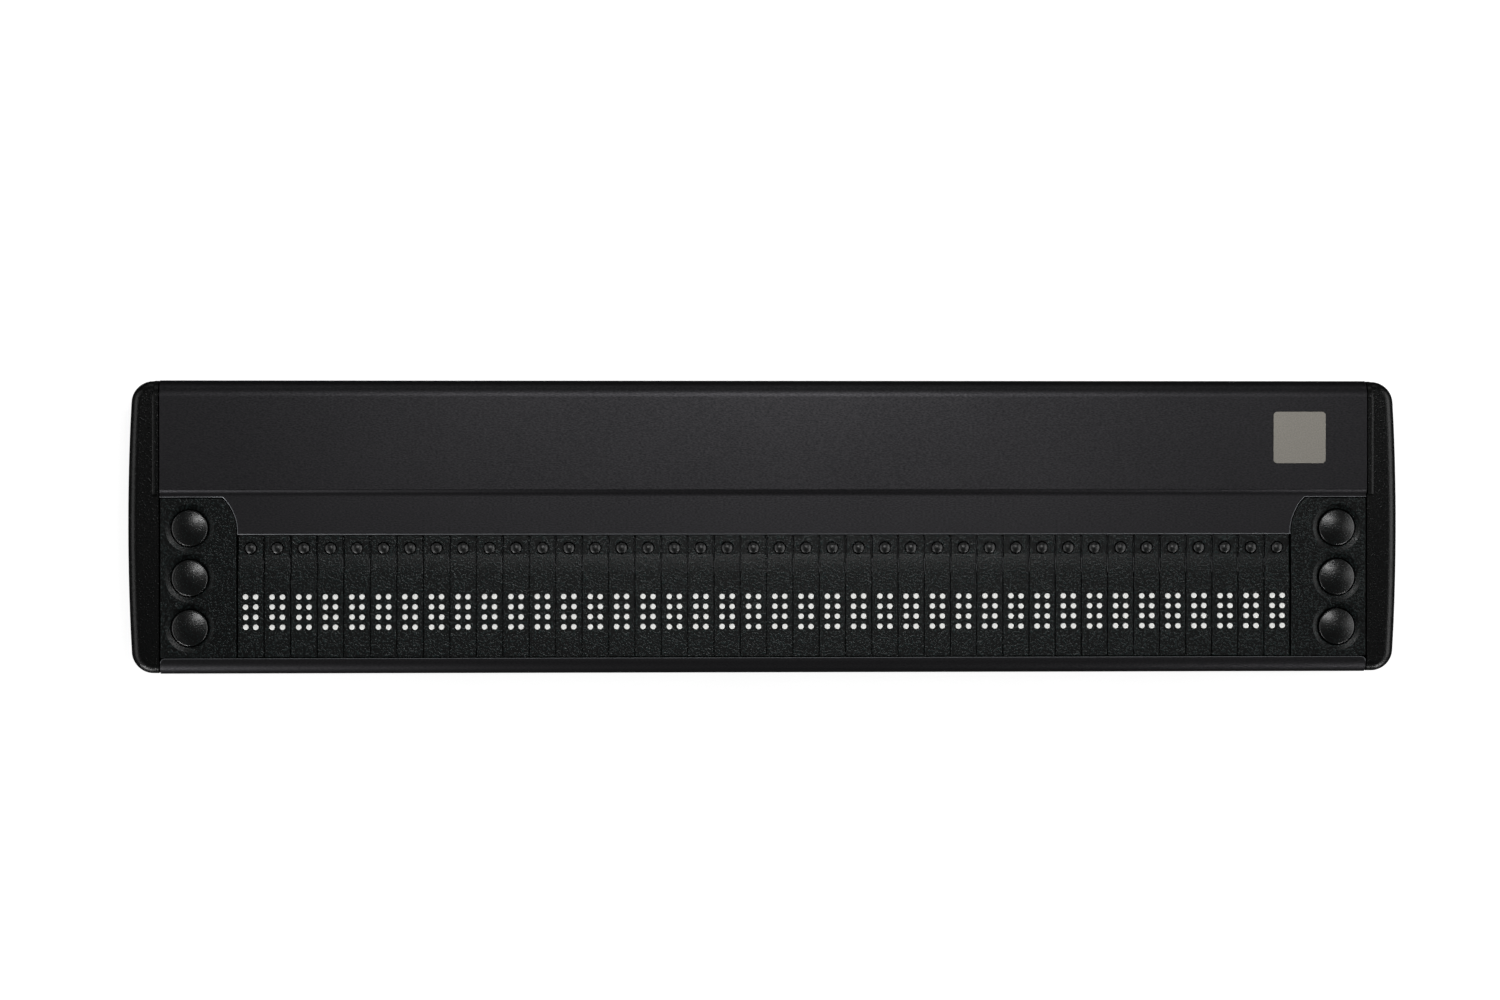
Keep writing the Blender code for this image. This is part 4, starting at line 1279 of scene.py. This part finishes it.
@dataclass
class MainBoard:
    """The main board, its switches and chips, and the socket at its left end.

    A switch has two tiers, each with its half width and height, and a chip has the place along X
    where it starts and its height.
    """

    thickness: float = 1.6 * MM
    end_gap: float = 1.0 * MM
    tab_end: float = -150.75 * MM
    tab_sides: tuple[float, float] = (15.85 * MM, 27.75 * MM)
    switch_tiers: tuple[tuple[float, float], ...] = ((3.0 * MM, 0.8 * MM), (1.2 * MM, 1.1 * MM))
    chips: tuple[tuple[float, float], ...] = ((-139.7 * MM, 1.2 * MM), (130.7 * MM, 5.0 * MM))
    chip_y: float = 19.6 * MM
    chip_width: float = 9.0 * MM
    socket_y: float = 21.8 * MM
    socket_x: tuple[float, float] = (-153.5 * MM, -144.5 * MM)
    socket_z: tuple[float, float] = (7.1 * MM, 10.3 * MM)
    socket_half: float = 4.45 * MM
    socket_round: float = 0.48
    socket_facet: float = 0.15 * MM
    sheet: float = 0.3 * MM
    tongue_half: tuple[float, float] = (3.35 * MM, 0.35 * MM)
    tongue_inset: tuple[float, float] = (1.0 * MM, 0.5 * MM)
    tongue_edge: float = 0.1 * MM

    def shell(self) -> BMesh:
        """The socket's drawn shell, a flat tube with round sides, open at its mouth.

        Returns:
            The shell.
        """
        front, back = self.socket_x
        low, high = self.socket_z
        near, far = self.socket_y - self.socket_half, self.socket_y + self.socket_half
        reach, sheet = (high - low) * self.socket_round, self.sheet
        outer = rectangle((near, low), (far, high), reach, self.socket_facet)
        inner = rectangle(
            (near + sheet, low + sheet), (far - sheet, high - sheet), reach - sheet,
            self.socket_facet,
        )
        tube = face_along_x(raise_up(outer, front, back))
        hollow = face_along_x(raise_up(inner, front - OVERRUN, back - OVERRUN))
        return worked(tube, [hollow], Work.CUT)

    def build(self) -> None:
        """Builds the board and what it carries."""
        low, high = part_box("circuit_board")
        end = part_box("deck_housing")[1].x - self.end_gap
        near, far = self.tab_sides
        board = polygon([
            (-end, low.y, 0), (end, low.y, 0), (end, high.y, 0), (-end, high.y, 0),
            (-end, far, 0), (self.tab_end, far, 0), (self.tab_end, near, 0), (-end, near, 0),
        ])
        raise_up(board, low.z, low.z + self.thickness)
        add_piece(
            board, "main_board", [SOLDER_MASK], replaces=["circuit_board"],
        )
        top = low.z + self.thickness
        parts = []
        for side in Side:
            for word in KEY_WORDS:
                x, y = key_middle(side, word).xy
                for half, height in self.switch_tiers:
                    parts.append(box(
                        (x - half, y - half, top), (x + half, y + half, top + height)
                    ))
        for x, height in self.chips:
            parts.append(box(
                (x, self.chip_y, top),
                (x + self.chip_width, self.chip_y + self.chip_width, top + height),
            ))
        add_piece(gathered(parts), "board_components", [MOULDED_EPOXY])
        add_piece(self.shell(), "socket_shell", [NICKEL])
        (front, back), middle = self.socket_x, sum(self.socket_z) / 2
        (wide, thick), (before, behind) = self.tongue_half, self.tongue_inset
        tongue = box(
            (front + before, self.socket_y - wide, middle - thick),
            (back - behind, self.socket_y + wide, middle + thick),
        )
        add_piece(tongue, "socket_tongue", [MOULDED_EPOXY], bevel=Bevel(self.tongue_edge))


class ActuatorBlock:
    """The actuator modules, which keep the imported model's shape and get their finish."""

    def build(self) -> None:
        """Gives the modules their finish."""
        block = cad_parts["actuator_block"]
        block.data.materials.clear()
        block.data.materials.append(FILLED_PBT.material())


@dataclass(frozen=True)
class Lamp:
    """A soft rectangular light that faces the display.

    Attributes:
        name: The light's name.
        place: Where it stands.
        size: Its width and height.
        power: Its power in watts.
    """

    name: str
    place: Corner
    size: tuple[float, float]
    power: float

    def build(self) -> None:
        """Builds the light."""
        lamp = bpy.data.lights.new(self.name, "AREA")
        lamp.shape = "RECTANGLE"
        lamp.size, lamp.size_y = self.size
        lamp.energy = self.power
        item = bpy.data.objects.new(self.name, lamp)
        item.location = self.place
        item.rotation_mode = "QUATERNION"
        item.rotation_quaternion = (-Vector(self.place)).to_track_quat("-Z", "Y")
        bpy.context.scene.collection.objects.link(item)


LAMPS = (
    Lamp("rear_strip", (0.02, 0.16, 0.44), (0.22, 0.05), 0.78),
    Lamp("rear_softbox", (0.0, 1.3, 0.35), (1.6, 0.3), 1.8),
    Lamp("left_softbox", (-1.2, 0.0, 0.6), (1.6, 0.7), 6.3),
    Lamp("right_softbox", (1.2, 0.0, 0.6), (1.6, 0.7), 9.5),
    Lamp("right_lamp", (0.55, 0.02, 0.5), (0.2, 0.3), 0.25),
    Lamp("front_left_strip", (-0.27, -0.33, 0.07), (0.2, 0.06), 0.9),
    Lamp("front_right_strip", (0.3, -0.33, 0.07), (0.2, 0.06), 0.55),
)


@dataclass
class Studio:
    """A pale floor, soft lights and the camera above the display."""

    lens: float = 120.0
    clip: tuple[float, float] = (0.1, 20.0)
    camera: Vector = Vector((-67.4, 19.3, 1231.6)) * MM
    target: Vector = Vector((-4.06, 6.54, 16.0)) * MM
    floor_reach: float = 3.0
    surround: str = "#808080"
    surround_strength: float = 0.22

    def build(self) -> None:
        """Builds the floor, the surroundings, the lights and the camera."""
        ground = bmesh.new()
        bmesh.ops.create_grid(ground, x_segments=1, y_segments=1, size=self.floor_reach)
        floor = as_object(ground, "floor")
        floor.data.materials.append(PALE_FLOOR.material())
        # The photograph's white was set in behind the object, so nothing on it mirrors that white.
        floor.visible_glossy = False

        # The photograph's tones are plain sRGB, with its background at full white.
        bpy.context.scene.view_settings.view_transform = "Standard"
        world = bpy.data.worlds.new("surroundings")
        world.use_nodes = True
        backdrop = world.node_tree.nodes["Background"]
        backdrop.inputs["Color"].default_value = linear(self.surround)
        backdrop.inputs["Strength"].default_value = self.surround_strength
        bpy.context.scene.world = world

        for lamp in LAMPS:
            lamp.build()

        data = bpy.data.cameras.new("camera")
        data.lens = self.lens
        data.clip_start, data.clip_end = self.clip
        item = bpy.data.objects.new("camera", data)
        forward = (self.target - self.camera).normalized()
        right = forward.cross(Vector((0, 1, 0))).normalized()
        turn = Matrix((right, right.cross(forward), -forward)).transposed()
        item.location = self.camera
        item.rotation_euler = turn.to_euler()
        bpy.context.scene.collection.objects.link(item)
        bpy.context.scene.camera = item


def main() -> None:
    """Builds every sub-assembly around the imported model."""
    logging.basicConfig(level=logging.INFO, format="%(message)s")
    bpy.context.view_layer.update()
    line = CellLine()
    DeckHousing().build()
    BadgePlate().build()
    for side in Side:
        cap = EndCap(side)
        cap.build()
        for rear in (False, True):
            CapScrew(side, rear).build(cap)
        KeyPanel(side).build()
    ControlKeys().build()
    CellCaps(line).build()
    DotPins(line).build()
    RoutingKeys(line).build()
    FootStrips().build()
    MainBoard().build()
    ActuatorBlock().build()
    Studio().build()


if __name__ == "__main__":
    main()
